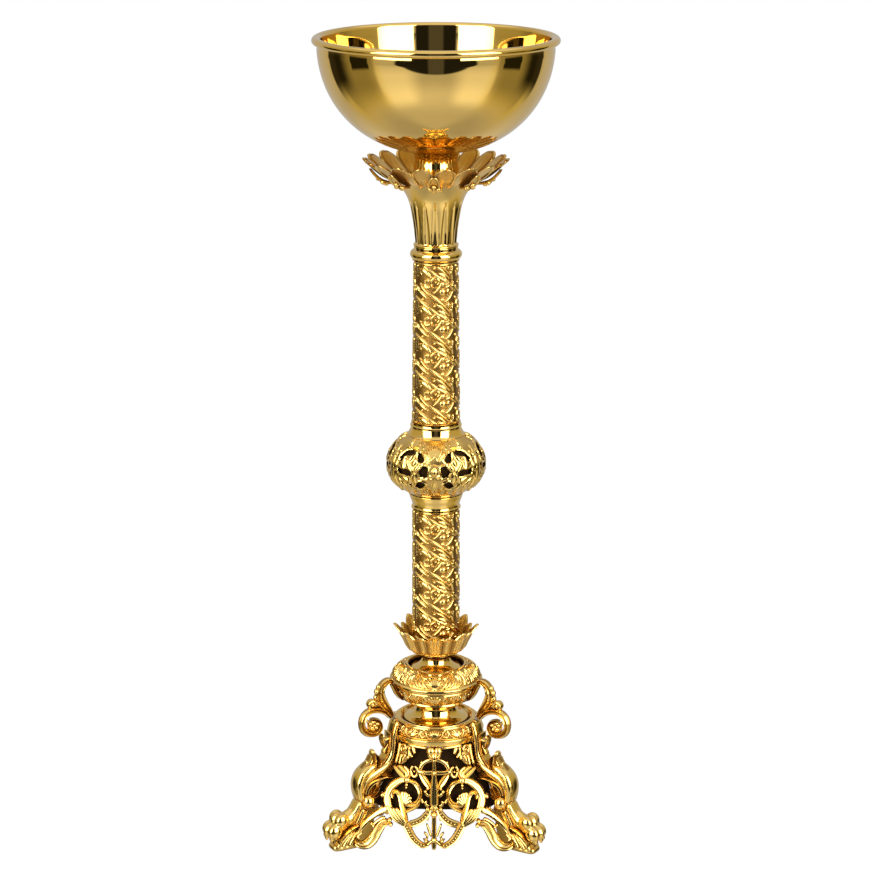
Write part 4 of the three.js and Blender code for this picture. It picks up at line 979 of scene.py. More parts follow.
def pierced_knop(settings):
    """The pierced shell: the skin is cut along its openings, and then given its wall, with painted shade on
    its inner faces and on a dark backing.
    """
    profile = knop_profile()
    run = run_of(profile)
    level = np.interp(KNOP_MIDDLE, profile[:, 1], run)
    out = outward(profile)
    shown = {}

    def place(u, v):
        row = np.rint(v * (len(profile) - 1)).astype(int)
        angle = u * TURN
        x = np.abs(from_front(angle, TURN / 3)) * KNOP_RADIUS
        y = run[row] - level
        shown["edge"] = knop_openings(x, y)
        height = knop_relief(x, y)
        shown["relief"] = np.clip(height * 0.6 + 0.4, 0, 1)
        radius, z = (profile[row] + out[row] * (height * 1.6 - 1.3)[:, None]).T
        return around(radius, angle, z)

    piece = grid_piece("pierced_knop_casting", 360, len(profile) - 1, place)
    set_relief(piece, shown["relief"])
    layer = piece.data.attributes.new("edge", "FLOAT", "POINT")
    layer.data.foreach_set("value", shown["edge"])
    close(piece)
    edge = np.zeros(len(piece.data.vertices))
    piece.data.attributes["edge"].data.foreach_get("value", edge)
    inside = np.array([all(edge[v] < 0 for v in face.vertices) for face in piece.data.polygons])
    piece.data.polygons.foreach_set("select", inside)
    only(piece)
    bpy.ops.object.mode_set(mode="EDIT")
    bpy.ops.mesh.select_mode(type="FACE")
    bpy.ops.object.mode_set(mode="OBJECT")
    piece.data.polygons.foreach_set("select", inside)
    bpy.ops.object.mode_set(mode="EDIT")
    bpy.ops.mesh.delete(type="FACE")
    bpy.ops.mesh.select_mode(type="VERT")
    bpy.ops.mesh.select_non_manifold(extend=False, use_wire=False, use_boundary=True)
    bpy.ops.mesh.vertices_smooth(factor=0.5, repeat=3)
    bpy.ops.object.mode_set(mode="OBJECT")
    piece.data.attributes.remove(piece.data.attributes["edge"])
    # The inner faces of the wall take the near-black material: painted shade inside the knop.
    piece.data.materials.append(material("cast_brass"))
    piece.data.materials.append(material("dark_shaded_inside"))
    apply_modifier(piece, "SOLIDIFY", thickness=settings.knop_wall, offset=-1.0, material_offset=1)
    smooth(piece)
    # A dark sheet behind the openings, which stands for the shade inside the knop.
    behind = profile[8:-8:3] - [[7.0, 0.0]]
    (_, foot), (_, head) = behind[0], behind[-1]
    shade_backing = spun("knop_shade_backing", np.concatenate([[(14, foot)], behind, [(14, head)]]), 96)
    shade_backing.data.materials.append(material("dark_shaded_inside"))
    return join("pierced_knop_casting", [piece, shade_backing])


LEAF_KNOP_RADIUS = 59.6
LEAF_KNOP_RIDGE = 211.0
LEAF_KNOP_ROWS = 150


def leaf_knop_skin():
    return smooth_line([
        (36.6, 183), (43, 185.6), (48.6, 189.6), (52.4, 194.6), (55.2, 200), (57.2, 204), (59, 206.6),
        (59.9, 209.4), (59.6, 213), (58, 217), (55.6, 221.6), (51.6, 226.2), (46, 229.8), (40.4, 231.9),
        (37.4, 232.4),
    ], LEAF_KNOP_ROWS)


def leaf_knop_outline():
    inside = smooth_line([
        (35.8, 231.2), (37, 227), (45, 222), (50.6, 212), (48, 200), (41, 190.5), (33, 187),
    ], 40)
    foot = [(6, 182.5), (35.4, 182.5)]
    return np.concatenate([foot, leaf_knop_skin(), [(36.4, 232.2)], inside, [(6, 187), (6, 182.5)]])


def leaf_knop_push(angle, row):
    """Three fans with winged leaves and scrolls between them, a plain ridge, and short leaves below it."""
    skin = leaf_knop_skin()
    on_skin = (row >= 2) & (row < 2 + LEAF_KNOP_ROWS)
    run = run_of(skin)
    y = run[np.clip(row - 2, 0, LEAF_KNOP_ROWS - 1)] - np.interp(LEAF_KNOP_RIDGE, skin[:, 1], run)
    x = np.abs(from_front(angle, TURN / 3)) * LEAF_KNOP_RADIUS
    lines = (
        ([(0, 21.5), (6, 21), (11, 18.5), (17, 20), (24, 24.5), (28, 27)], 1.4, (1, 0.5)),
        ([(8, 5), (14, 9), (19, 15)], 1.9, (0.35, 0.3)),
        ([(14, 5.5), (20, 9.5), (25, 15.5)], 1.9, (0.35, 0.3)),
        ([(20, 6), (26, 10), (30, 16.5)], 1.9, (0.35, 0.3)),
        ([(13, 15), (18, 18), (23, 22.5)], 1.5, (0.35, 0.3)),
        ([(26, 17), (29, 21), (29, 25)], 1.5, (0.35, 0.4)),
        ([(34, 5.5), (39.5, 11), (41, 17), (38, 23), (31, 27)], 1.9, (0.5, 0.5)),
        ([(31, 8), (35.5, 12.5), (36.5, 17.5), (33.5, 22)], 1.3, (0.4, 0.4)),
        ([(44, 6), (46.5, 14), (45.5, 22), (42, 27)], 1.7, (0.4, 0.4)),
        ([(51, 6), (52.5, 14), (51, 23), (48, 28)], 1.9, (0.4, 0.4)),
        ([(57.5, 7), (58, 15), (56, 24)], 1.6, (0.4, 0.4)),
        ([(62.4, 6), (62.4, 27)], 2.4, (0.3, 0.3)),
        ([(0, 25.5), (8, 26), (16, 29)], 1.4, (0.8, 0.6)),
        ([(33, 29), (40, 29.5), (50, 30)], 1.2, (0.5, 0.5)),
    )
    low = np.abs(from_front(angle, TURN / 12)) * 50
    height = np.maximum.reduce([
        fan(x, y, 6, (0, 15, 30, 46, 63), 12.5, 13.5, 1.5, (0.3, 0.8)),
        strokes(x, y, lines, 3),
        bead(x, y, (0.0, 5.0), 2.4),
        fan(low, y, -24, (0, 22, 44), 9, 15.5, 1.7, (0.4, 0.7)),
        stroke(low, y, smooth_line([(13, -9), (11, -15), (13, -24)], 8), 1.5, (0.6, 0.4)),
        np.clip(1.7 - np.abs(y + 0.2) / 2.6, 0, 1),
        np.clip(1 - np.abs(y + 6.4) / 0.9, 0, 1),
    ])
    height = np.where((y < -29) | (y > 31.5), 1.0, height)
    # Faces off the skin, the foot and the inside of the mouth, get a low relief value: painted shade.
    return np.where(on_skin, height * 1.8 - 1.5, 0), np.where(on_skin, 0.3 + 0.7 * height, 0.15)


class STOUP_OT_knops(bpy.types.Operator):
    """Cast the pierced knop and the leaf knop, and turn the collars of the pierced one"""

    bl_idname = "stoup.knops"
    bl_label = "Knops"

    def execute(self, context):
        finish_piece(pierced_knop(context.scene.stoup_stem), "pierced_knop", "cast_brass")
        low, high = node_span("knop_upper_collar")
        turned("knop_upper_collar", np.concatenate([
            lifted([(16, 0), (35, 0), (35.6, 0.6), (36.2, 5.8)], low),
            smooth_line(lifted([(36.6, 6.4), (35.2, 8), (33.4, 11.2), (31.8, 15)], low), 30),
            lifted([(31.6, 16.4), (32.6, 17)], low),
            lifted([(32.6, -4), (31.8, -3.2), (31.4, -2.4), (31.4, 0), (16, 0)], high),
        ]))
        low, high = node_span("knop_lower_collar")
        side = lifted([(30.6, 3.4), (30.2, 5.5), (31.2, 9.4), (33.1, 14.4)], low)
        turned("knop_lower_collar", np.concatenate([
            lifted([(16, 0), (30.6, 0), (31.4, 0.6), (31.4, 2.4), (30.8, 3)], low),
            smooth_line(np.concatenate([side, [(34.4, high - 1.6)]]), 24),
            lifted([(34.8, -0.7), (34.4, 0), (16, 0)], high),
        ]))
        leaves = carved("leaf_knop_casting", leaf_knop_outline(), 420, leaf_knop_push)
        finish_piece(leaves, "leaf_knop", "cast_brass")
        return {"FINISHED"}


# Calyx, necks and cap of the base

def calyx():
    """Eight ribbed leaves with smaller ones between them, one casting with a flared and pointed edge."""
    low, high = node_span("leaf_calyx")
    line = smooth_line(np.concatenate([
        lifted([
            (23.5, 0.4), (31.7, 2.0), (36.8, 6.0), (40.4, 13.6), (43.6, 20), (47.0, 26.6), (50.2, 31.6),
        ], low),
        [(53.4, high + 1.0)],
    ]), 60)
    shown = {}

    def place(u, v):
        angle = u * TURN
        leaf = (angle + math.pi / 2) / TURN * 8
        main = np.abs((leaf + 0.5) % 1 - 0.5) * 2
        large = np.clip(1 - (main / 0.58) ** 1.5, 0, 1) ** 0.8
        small = np.clip(1 - ((1 - main) / 0.42) ** 1.6, 0, 1) ** 0.8
        reach = np.maximum(0.70 + 0.30 * large, 0.70 + 0.15 * small)
        share = v * reach
        radius, height, out_r, out_z = along(line, share)
        mid_rib = np.exp(-(main / 0.08) ** 2)
        side_rib = np.exp(-((main - 0.26) / 0.06) ** 2) * (share < 0.8)
        small_rib = np.exp(-((1 - main) / 0.08) ** 2)
        parting = np.exp(-((main - 0.60) / 0.06) ** 2)
        lip = np.exp(-((1 - v) * reach / 0.035) ** 2)
        fade = np.clip(share * 4 - 0.3, 0, 1)
        ribs = np.maximum.reduce([mid_rib, side_rib * 0.8, small_rib * 0.9]) * fade
        rise = ribs * 1.2 - parting * 2.2 * fade + lip * 0.8 - 0.5
        rise = rise - np.where(main > 0.6, 1.6, 0.0) * share
        # The parting between leaves lowers the relief value: painted shade in the crease.
        shown["relief"] = np.clip(0.25 + 0.8 * ribs + 1.0 * lip - parting + (1 - fade), 0, 1)
        return around(radius + out_r * rise, angle, np.minimum(height + out_z * rise, high + 1.0))

    piece = grid_piece("leaves", 448, 44, place)
    set_relief(piece, shown["relief"])
    close(piece)
    apply_modifier(piece, "SOLIDIFY", thickness=1.7 * MM, offset=-1.0)
    smooth(piece)
    floor = spun("calyx_floor", lifted([(6, 0), (23, 0), (25, 1.2), (31, 4.4), (6, 4.8)], low))
    return join("leaf_calyx_casting", [piece, floor])


def calyx_neck_outline():
    """A polished neck with a wide foot that closes the mouth of the leaf knop."""
    low, high = node_span("calyx_neck")
    foot = lifted([(20, -28), (31, -25.4), (33, -24.2), (33.4, -23), (32.4, -22)], high)
    cove = smooth_line(lifted([
        (31, -21.4), (26.6, -19.8), (22.8, -17.4), (20.2, -14.6), (18.8, -11.2), (18.5, -8.2), (19.2, -6),
    ], high), 34)
    head = lifted([
        (20.6, -5.4), (21.2, -4.6), (21.2, -3.8), (20.6, -3), (19.6, -2.6), (19.4, -1.2), (20.4, 0), (6, 0),
    ], high)
    return np.concatenate([[(6, low), (20, low)], foot, cove, head])


def base_neck_outline():
    """The same form, wider, between the leaf knop and the dish of the cap."""
    low, high = node_span("base_neck")
    foot = lifted([(6, 0), (30.6, 0), (31, 2.6), (38, 4.4), (41, 5.8), (41.5, 6.8), (40.6, 7.6)], low)
    cove = smooth_line(lifted([
        (39, 8.1), (35, 9.5), (31.6, 12), (29.2, 15.4), (27.8, 19.4), (27.5, 23), (28.2, 25.4),
    ], low), 34)
    head = lifted([(29.6, -3.6), (30.2, -2.8), (30.2, -1.8), (29.4, -1), (28.8, 0), (6, 0)], high)
    return np.concatenate([foot, cove, head])


BAND_ROWS = 60


def band_outline():
    """The dished cap of the base, with the leaf moulding on its outer side."""
    low, high = node_span("leaf_band")
    side = lifted([(60, 0.6), (59.6, 4), (57.8, 8.4), (54.4, 12)], low)
    skin = smooth_line(np.concatenate([side, [(51.2, high - 1.4)]]), BAND_ROWS)
    dish = smooth_line(lifted([(47.6, -0.2), (44, -3), (40, -7.6), (37, -8.8)], high), 14)
    rim = [(50.6, high), (49, high)]
    return np.concatenate([[(6, low), (59.6, low)], skin, rim, dish, [(6, high - 9), (6, low)]])


def band_push(angle, row):
    """A moulding of twelve fans with an oval ring between each two."""
    on_skin = (row >= 4) & (row < BAND_ROWS)
    x = np.abs(from_front(angle, TURN / 12)) * 57
    y = (row - 2) / BAND_ROWS * 18
    oval = np.abs(np.hypot((x - 14.9) / 3.6, (y - 8.6) / 5.4) - 1) * 4.2
    height = np.maximum.reduce([
        fan(x, y, 2.6, (0, 19, 38, 58), 9.4, 10.6, 1.35, (0.4, 0.9)),
        np.clip(1 - (oval / 1.5) ** 2, 0, 1),
        bead(x, y, (14.9, 8.2), 1.7),
        stroke(x, y, smooth_line([(3, 1.6), (7.4, 3), (10.2, 7), (10.8, 12)], 10), 1.1, (0.5, 0.7)),
        np.clip(1.4 - np.abs(y - 16.8) / 1.6, 0, 1),
        np.clip(1.2 - np.abs(y - 0.6) / 1.1, 0, 1),
    ])
    return np.where(on_skin, height * 2.0 - 1.7, 0), np.where(on_skin, height, 0.9)


class STOUP_OT_necks(bpy.types.Operator):
    """Cast the leaf calyx and the leaf band, and turn the polished necks and the base ring"""

    bl_idname = "stoup.necks"
    bl_label = "Calyx, necks and cap"

    def execute(self, context):
        finish_piece(calyx(), "leaf_calyx", "satin_brass")
        turned("calyx_neck", calyx_neck_outline())
        turned("base_neck", base_neck_outline())
        band = carved("leaf_band_casting", band_outline(), 432, band_push)
        finish_piece(band, "leaf_band", "cast_brass")
        low, high = node_span("base_ring")
        turned("base_ring", np.concatenate([
            [(46, low), (59.4, low)], arc_line((59.4, low + 1.4), 1.4, -90, 0, 6),
            arc_line((60.6, high - 1.4), 1.4, 0, 90, 6), [(46, high)],
        ]))
        return {"FINISHED"}


# Tripod, each piece made on the +X side and turned to its place

def upright(x, out, z):
    """From a flat drawing of reach and height to the plane of a leg."""
    return np.stack([x, out, z], axis=1)


def bent_panel(x, out, z):
    """From a flat drawing of the panel to its place: round at the top, flat at the foot."""
    top, foot, flat = 59.0, 77.0, 20.0
    rim, _ = node_span("base_ring")
    bend = np.clip((z - flat) / (rim - flat), 1e-4, 1) / top
    depth = foot + (top - foot) * z / rim
    angle = x * bend
    reach = 1 / bend + out
    return np.stack([depth - 1 / bend + reach * np.cos(angle), reach * np.sin(angle), z], axis=1)


def soften(piece, edge, segments, relief):
    """Round the sharp edges of a piece."""
    apply_modifier(piece, "BEVEL", width=edge * MM, segments=segments, limit_method="ANGLE",
                   angle_limit=math.radians(60))
    set_relief(piece, relief)
    return piece


def plate(outline, thickness, edge):
    """A flat plate with rounded edges, standing in the plane of a leg."""
    deselect()
    bpy.ops.mesh.primitive_circle_add(vertices=len(outline), radius=1, fill_type="NGON")
    piece = bpy.context.object
    lay(piece, upright(outline[:, 0], np.full(len(outline), -thickness / 2), outline[:, 1]))
    bpy.ops.object.mode_set(mode="EDIT")
    bpy.ops.mesh.select_all(action="SELECT")
    bpy.ops.mesh.extrude_region_move(TRANSFORM_OT_translate={"value": (0, thickness * MM, 0)})
    bpy.ops.mesh.select_all(action="SELECT")
    bpy.ops.mesh.normals_make_consistent(inside=False)
    bpy.ops.object.mode_set(mode="OBJECT")
    return soften(piece, edge, 3, 0.35)


def block(reach, up, wide, edge):
    """A rounded block, across the plane of a leg."""
    deselect()
    bpy.ops.mesh.primitive_cylinder_add(vertices=64, radius=1, depth=1)
    piece = bpy.context.object
    ring = points_of(piece)
    plan = np.sign(ring[:, :2]) * np.sqrt(np.abs(ring[:, :2]))
    middle, half = (reach[0] + reach[1]) / 2, (reach[1] - reach[0]) / 2
    height = up[0] + (ring[:, 2] + 0.5) * (up[1] - up[0])
    lay(piece, upright(middle + plan[:, 0] * half, plan[:, 1] * wide / 2, height))
    return soften(piece, edge, 5, 0.5)


def paw():
    """Three toes and their claws, melted into one lump."""
    def knob(x, z, size, out=0.0, tilt=0.0):
        return lump((x, out, z), size, upright, tilt)

    parts = [knob(129, 41, (17, 11, 9.6), 0, -38), knob(142, 35, (12.6, 11.6, 11.6), 0, -20)]
    for side in (-1, 0, 1):
        ahead = 2.4 * (1 - abs(side))
        out = 8.8 * side
        parts.append(knob(142 + ahead, 42.4, (9.4, 6.6, 8.8), out, -30))
        parts.append(knob(151.4 + ahead, 28.6, (9.8, 6.8, 10.2), out, 15))
        claw = [(155.6 + ahead, 23), (157.4 + ahead, 19), (156 + ahead, 15.4)]
        parts.append(strip(claw, [6, 5, 2.4], 6, lambda x, y, z, shift=out: upright(x, y + shift, z)))
    whole = join("paw", parts)
    apply_modifier(whole, "REMESH", mode="VOXEL", voxel_size=1.1 * MM)
    apply_modifier(whole, "SMOOTH", factor=0.5, iterations=9)
    set_relief(whole, 1.0)
    return whole


def leg(settings):
    """One cast leg: moulded strip, acanthus knee with its boss, and a lion paw on a shell foot."""
    thick = settings.leg_thickness / MM

    def bar(line, width, depth=1.0, ridges=1, groove=0.35):
        return strip(line, width, thick * depth, upright, ridges, groove)

    def knob(x, z, size, segments=24):
        return lump((x, 0, z), size, upright, segments=segments)

    outer = smooth_line([
        (63.2, 165.5), (64.6, 158), (67.5, 148), (69, 138), (71.5, 126), (77, 116), (86, 109), (97, 106),
        (108, 101), (115.5, 94), (119.4, 86), (120.4, 77), (118.6, 67), (116.6, 60), (119, 55), (124, 48),
        (132, 44), (142, 42), (148, 34), (149, 24), (150.5, 12), (150, 0.8),
    ], 84)
    inner = smooth_line([
        (104, 0.8), (98, 10), (94, 22), (92, 36), (91, 50), (89, 62), (87, 72), (84, 80), (78, 86),
        (68, 90), (64, 98), (61, 112), (60.4, 126), (61, 137),
    ], 60)
    top = [(62.3, 147), (60, 152), (57, 162), (57.2, 165.5)]
    shaft = [(60, 165), (63, 153), (65.2, 142), (66, 129), (69, 115.5), (76.5, 105), (89, 98), (101.5, 92),
             (109.4, 82.5), (111.5, 71)]
    rim = [(67, 88), (77, 90.4), (89.8, 89.6), (100.4, 86), (106, 80.2), (108.6, 72)]
    knee = [(91, 110), (102, 103.6), (111, 95.5), (115, 85), (114.6, 73), (112.6, 62)]
    shin = [(113.6, 64), (116.4, 57.5), (121, 50), (126.4, 43.4), (133, 38)]
    fringe = [(119, 33.5), (128, 29.6), (138, 23.6), (144.6, 17.6), (147, 9)]
    parts = [
        plate(np.concatenate([outer, inner, top]), thick * 0.5, 2.0),
        bar(shaft, [6, 7.5, 8, 8.5, 10.5, 12, 13, 12.5, 9, 5], 1.16),
        bar([(62.4, 150), (60.8, 140), (60.4, 122), (64, 104), (71, 97)], [2.4, 3, 3, 3, 2], 1.02),
        bar([(70.4, 150), (71, 138), (72.8, 124), (79, 113.5), (88, 106)], [2, 2.6, 2.6, 2.6, 2], 1.0),
        bar([(88, 97), (79, 94.6), (71, 92), (63.2, 86.6)], [7, 8, 5.5, 1.6], 1.04, 2),
        bar(rim, [1.6, 2.8, 3.2, 3.2, 3, 2.4], 1.28),
        bar([(88, 85.5), (97, 82), (102, 76.5), (104, 70)], [1.6, 2.4, 2.4, 1.8], 1.0),
        bar(knee, [9, 13, 13, 12, 11, 7], 1.34),
    ]
    for dx, depth in ((0, 1.2), (-3.6, 1.42)):
        vein = [(104 + dx, 105), (113.5 + dx, 97), (118.4 + dx, 85), (118 + dx, 73), (115.4 + dx, 62)]
        parts.append(bar(vein, [2.2, 3, 3, 2.6, 1.6], depth))
    for line, width, depth in (
        ([(97, 101), (92.6, 111), (93, 119), (93.8, 126.4)], [9, 8, 6, 4], 0.9),
        ([(88, 103), (85.6, 111), (87.5, 118.5), (92.6, 124.5)], [5, 5.4, 4.4, 2.6], 1.06),
        ([(106, 101), (101, 109.6), (97.4, 116), (95.4, 122)], [8, 7, 5, 2.6], 0.82),
        ([(111, 99), (106.6, 106), (101.6, 112.4)], [6, 5, 2.6], 0.72),
    ):
        parts.append(bar(line, width, depth, 2, 0.3))
    parts += [
        knob(93.6, 125.6, (3.1, 5.6, 3.3), 16),
        knob(101.4, 112.6, (2.6, 4.8, 2.4), 14),
    ]
    for line, width in (
        ([(103, 66), (100.4, 75), (99.6, 83.5)], [4, 6, 3]),
        ([(101, 66), (95, 74), (91.6, 83.6)], [4, 6, 3]),
        ([(99, 65), (91.6, 71), (86.4, 79)], [4, 5.6, 2.6]),
        ([(97, 63), (91, 66), (85.5, 70.6)], [4, 5, 2.2]),
    ):
        parts.append(bar(line, width, 0.98, 2, 0.4))
    parts += [
        knob(102.8, 61.6, (11.2, 16.6, 11.2)),
        bar([(104, 60), (99.5, 56), (95, 51.5), (91.4, 47.5)], [14, 12.5, 9, 2.4], 1.16, 2, 0.25),
        bar(shin, [8, 8.6, 9.4, 10.5, 12], 1.16),
        bar([(108, 52), (113, 40.6), (119.6, 29.6)], [7, 8.5, 7], 0.84),
        bar([(104.4, 50.6), (111.4, 37.6), (118.6, 26), (121, 19)], [2.4, 3, 3, 2], 1.06),
        paw(),
        bar(fringe, [2, 3.2, 3.4, 3.4, 2.4], 1.56),
    ]
    for line, depth in (
        ([(127, 27), (138, 17.6), (146.6, 8), (148.4, 4)], 1.44),
        ([(124.5, 27), (132.4, 17.4), (139.6, 8.4), (141, 4)], 1.62),
        ([(122, 26.6), (127.4, 17), (131.4, 8), (132, 4)], 1.74),
        ([(119.6, 26), (121.6, 16.6), (123, 8.4), (123, 4)], 1.6),
    ):
        parts.append(bar(line, [4.4, 7, 8.4, 7.6], depth))
    parts.append(block((113, 154), (0.6, 9.0), 24, 4.0))
    return join("leg", parts)


def bracket(settings):
    """One scroll bracket: a ridged ribbon that arches down from the leaf knop, with a volute and buds."""
    thick = settings.bracket_thickness / MM

    def bar(line, width, depth=1.0, ridges=1, groove=0.35):
        return strip(line, width, thick * depth, upright, ridges, groove)

    ribbon = [(62.5, 215.2), (68, 218.4), (74.4, 216.8), (79.6, 211.4), (82, 203.8), (80.4, 194.5),
              (75, 185.3), (69, 177), (64, 168)]
    volute = smooth_line([
        (66, 166.5), (72.5, 174.5), (81, 179.8), (91, 182), (100, 180), (106, 174), (108, 166),
        (105.6, 157.4), (99, 151.4), (91.5, 149.4), (85.4, 151), (82, 156), (82.2, 162.4), (85.6, 167.2),
        (91, 169.4), (96.4, 168.6),
    ], 70)
    tail = [(67, 215.6), (62.4, 208.6), (58.4, 200.4), (53, 193), (47.6, 188.2)]
    parts = [
        bar(ribbon, [7, 8.4, 10, 13, 16, 15.4, 12.6, 10, 7], 1.05, 3, 0.7),
        bar(tail, [4, 6, 6, 5, 2], 0.9, 2, 0.6),
        bar(volute, [6, 7.4, 9, 10, 10.2, 10.2, 10, 9.4, 8.4, 7, 5.6, 3.6], 1.0, 2, 0.7),
        bar([(79, 185.6), (83.2, 190), (88, 190), (91.8, 186.6)], [4, 7, 6, 4], 0.9, 2, 0.5),
        bar(arc_line((93.4, 190.2), 5, 200, -80, 20), [4.4, 4.2, 3], 0.9),
        bar([(71, 179.6), (79, 186), (87, 188)], [3.4, 6, 3], 0.82, 2, 0.5),
        bar([(104, 171.6), (100.4, 168.6), (96, 167.4)], [4.4, 4, 2.4], 0.8),
        bar([(78.6, 148), (80.2, 142), (78.4, 134), (76.6, 128)], [3.4, 5.4, 5, 3], 0.86, 2),
        bar([(68.6, 146), (71.4, 140.6), (76, 139.4), (78.8, 143)], [2.4, 3.6, 3.2, 2.4], 0.8),
        bar([(71, 134.6), (74, 129), (79.4, 121)], [2, 3.6, 2], 0.78),
    ]
    for x, z, radius, height in (
        (93.6, 190.4, 3.9, 1.0), (86.4, 206.4, 3.6, 0.74), (86.8, 198.6, 4.0, 0.74),
        (83.8, 212.4, 3.0, 0.66), (87.4, 192, 3.2, 0.7), (91.2, 162, 2.8, 1.1), (96.4, 164.6, 3.2, 0.95),
        (94, 158.8, 3.2, 0.95), (88.6, 158.2, 3.2, 0.95), (86.4, 163, 3.2, 0.95), (91.8, 161.8, 8.6, 0.42),
    ):
        size = (radius, thick * height / 2, radius)
        parts.append(lump((x, 0, z), size, upright, segments=16))
    return join("bracket", parts)


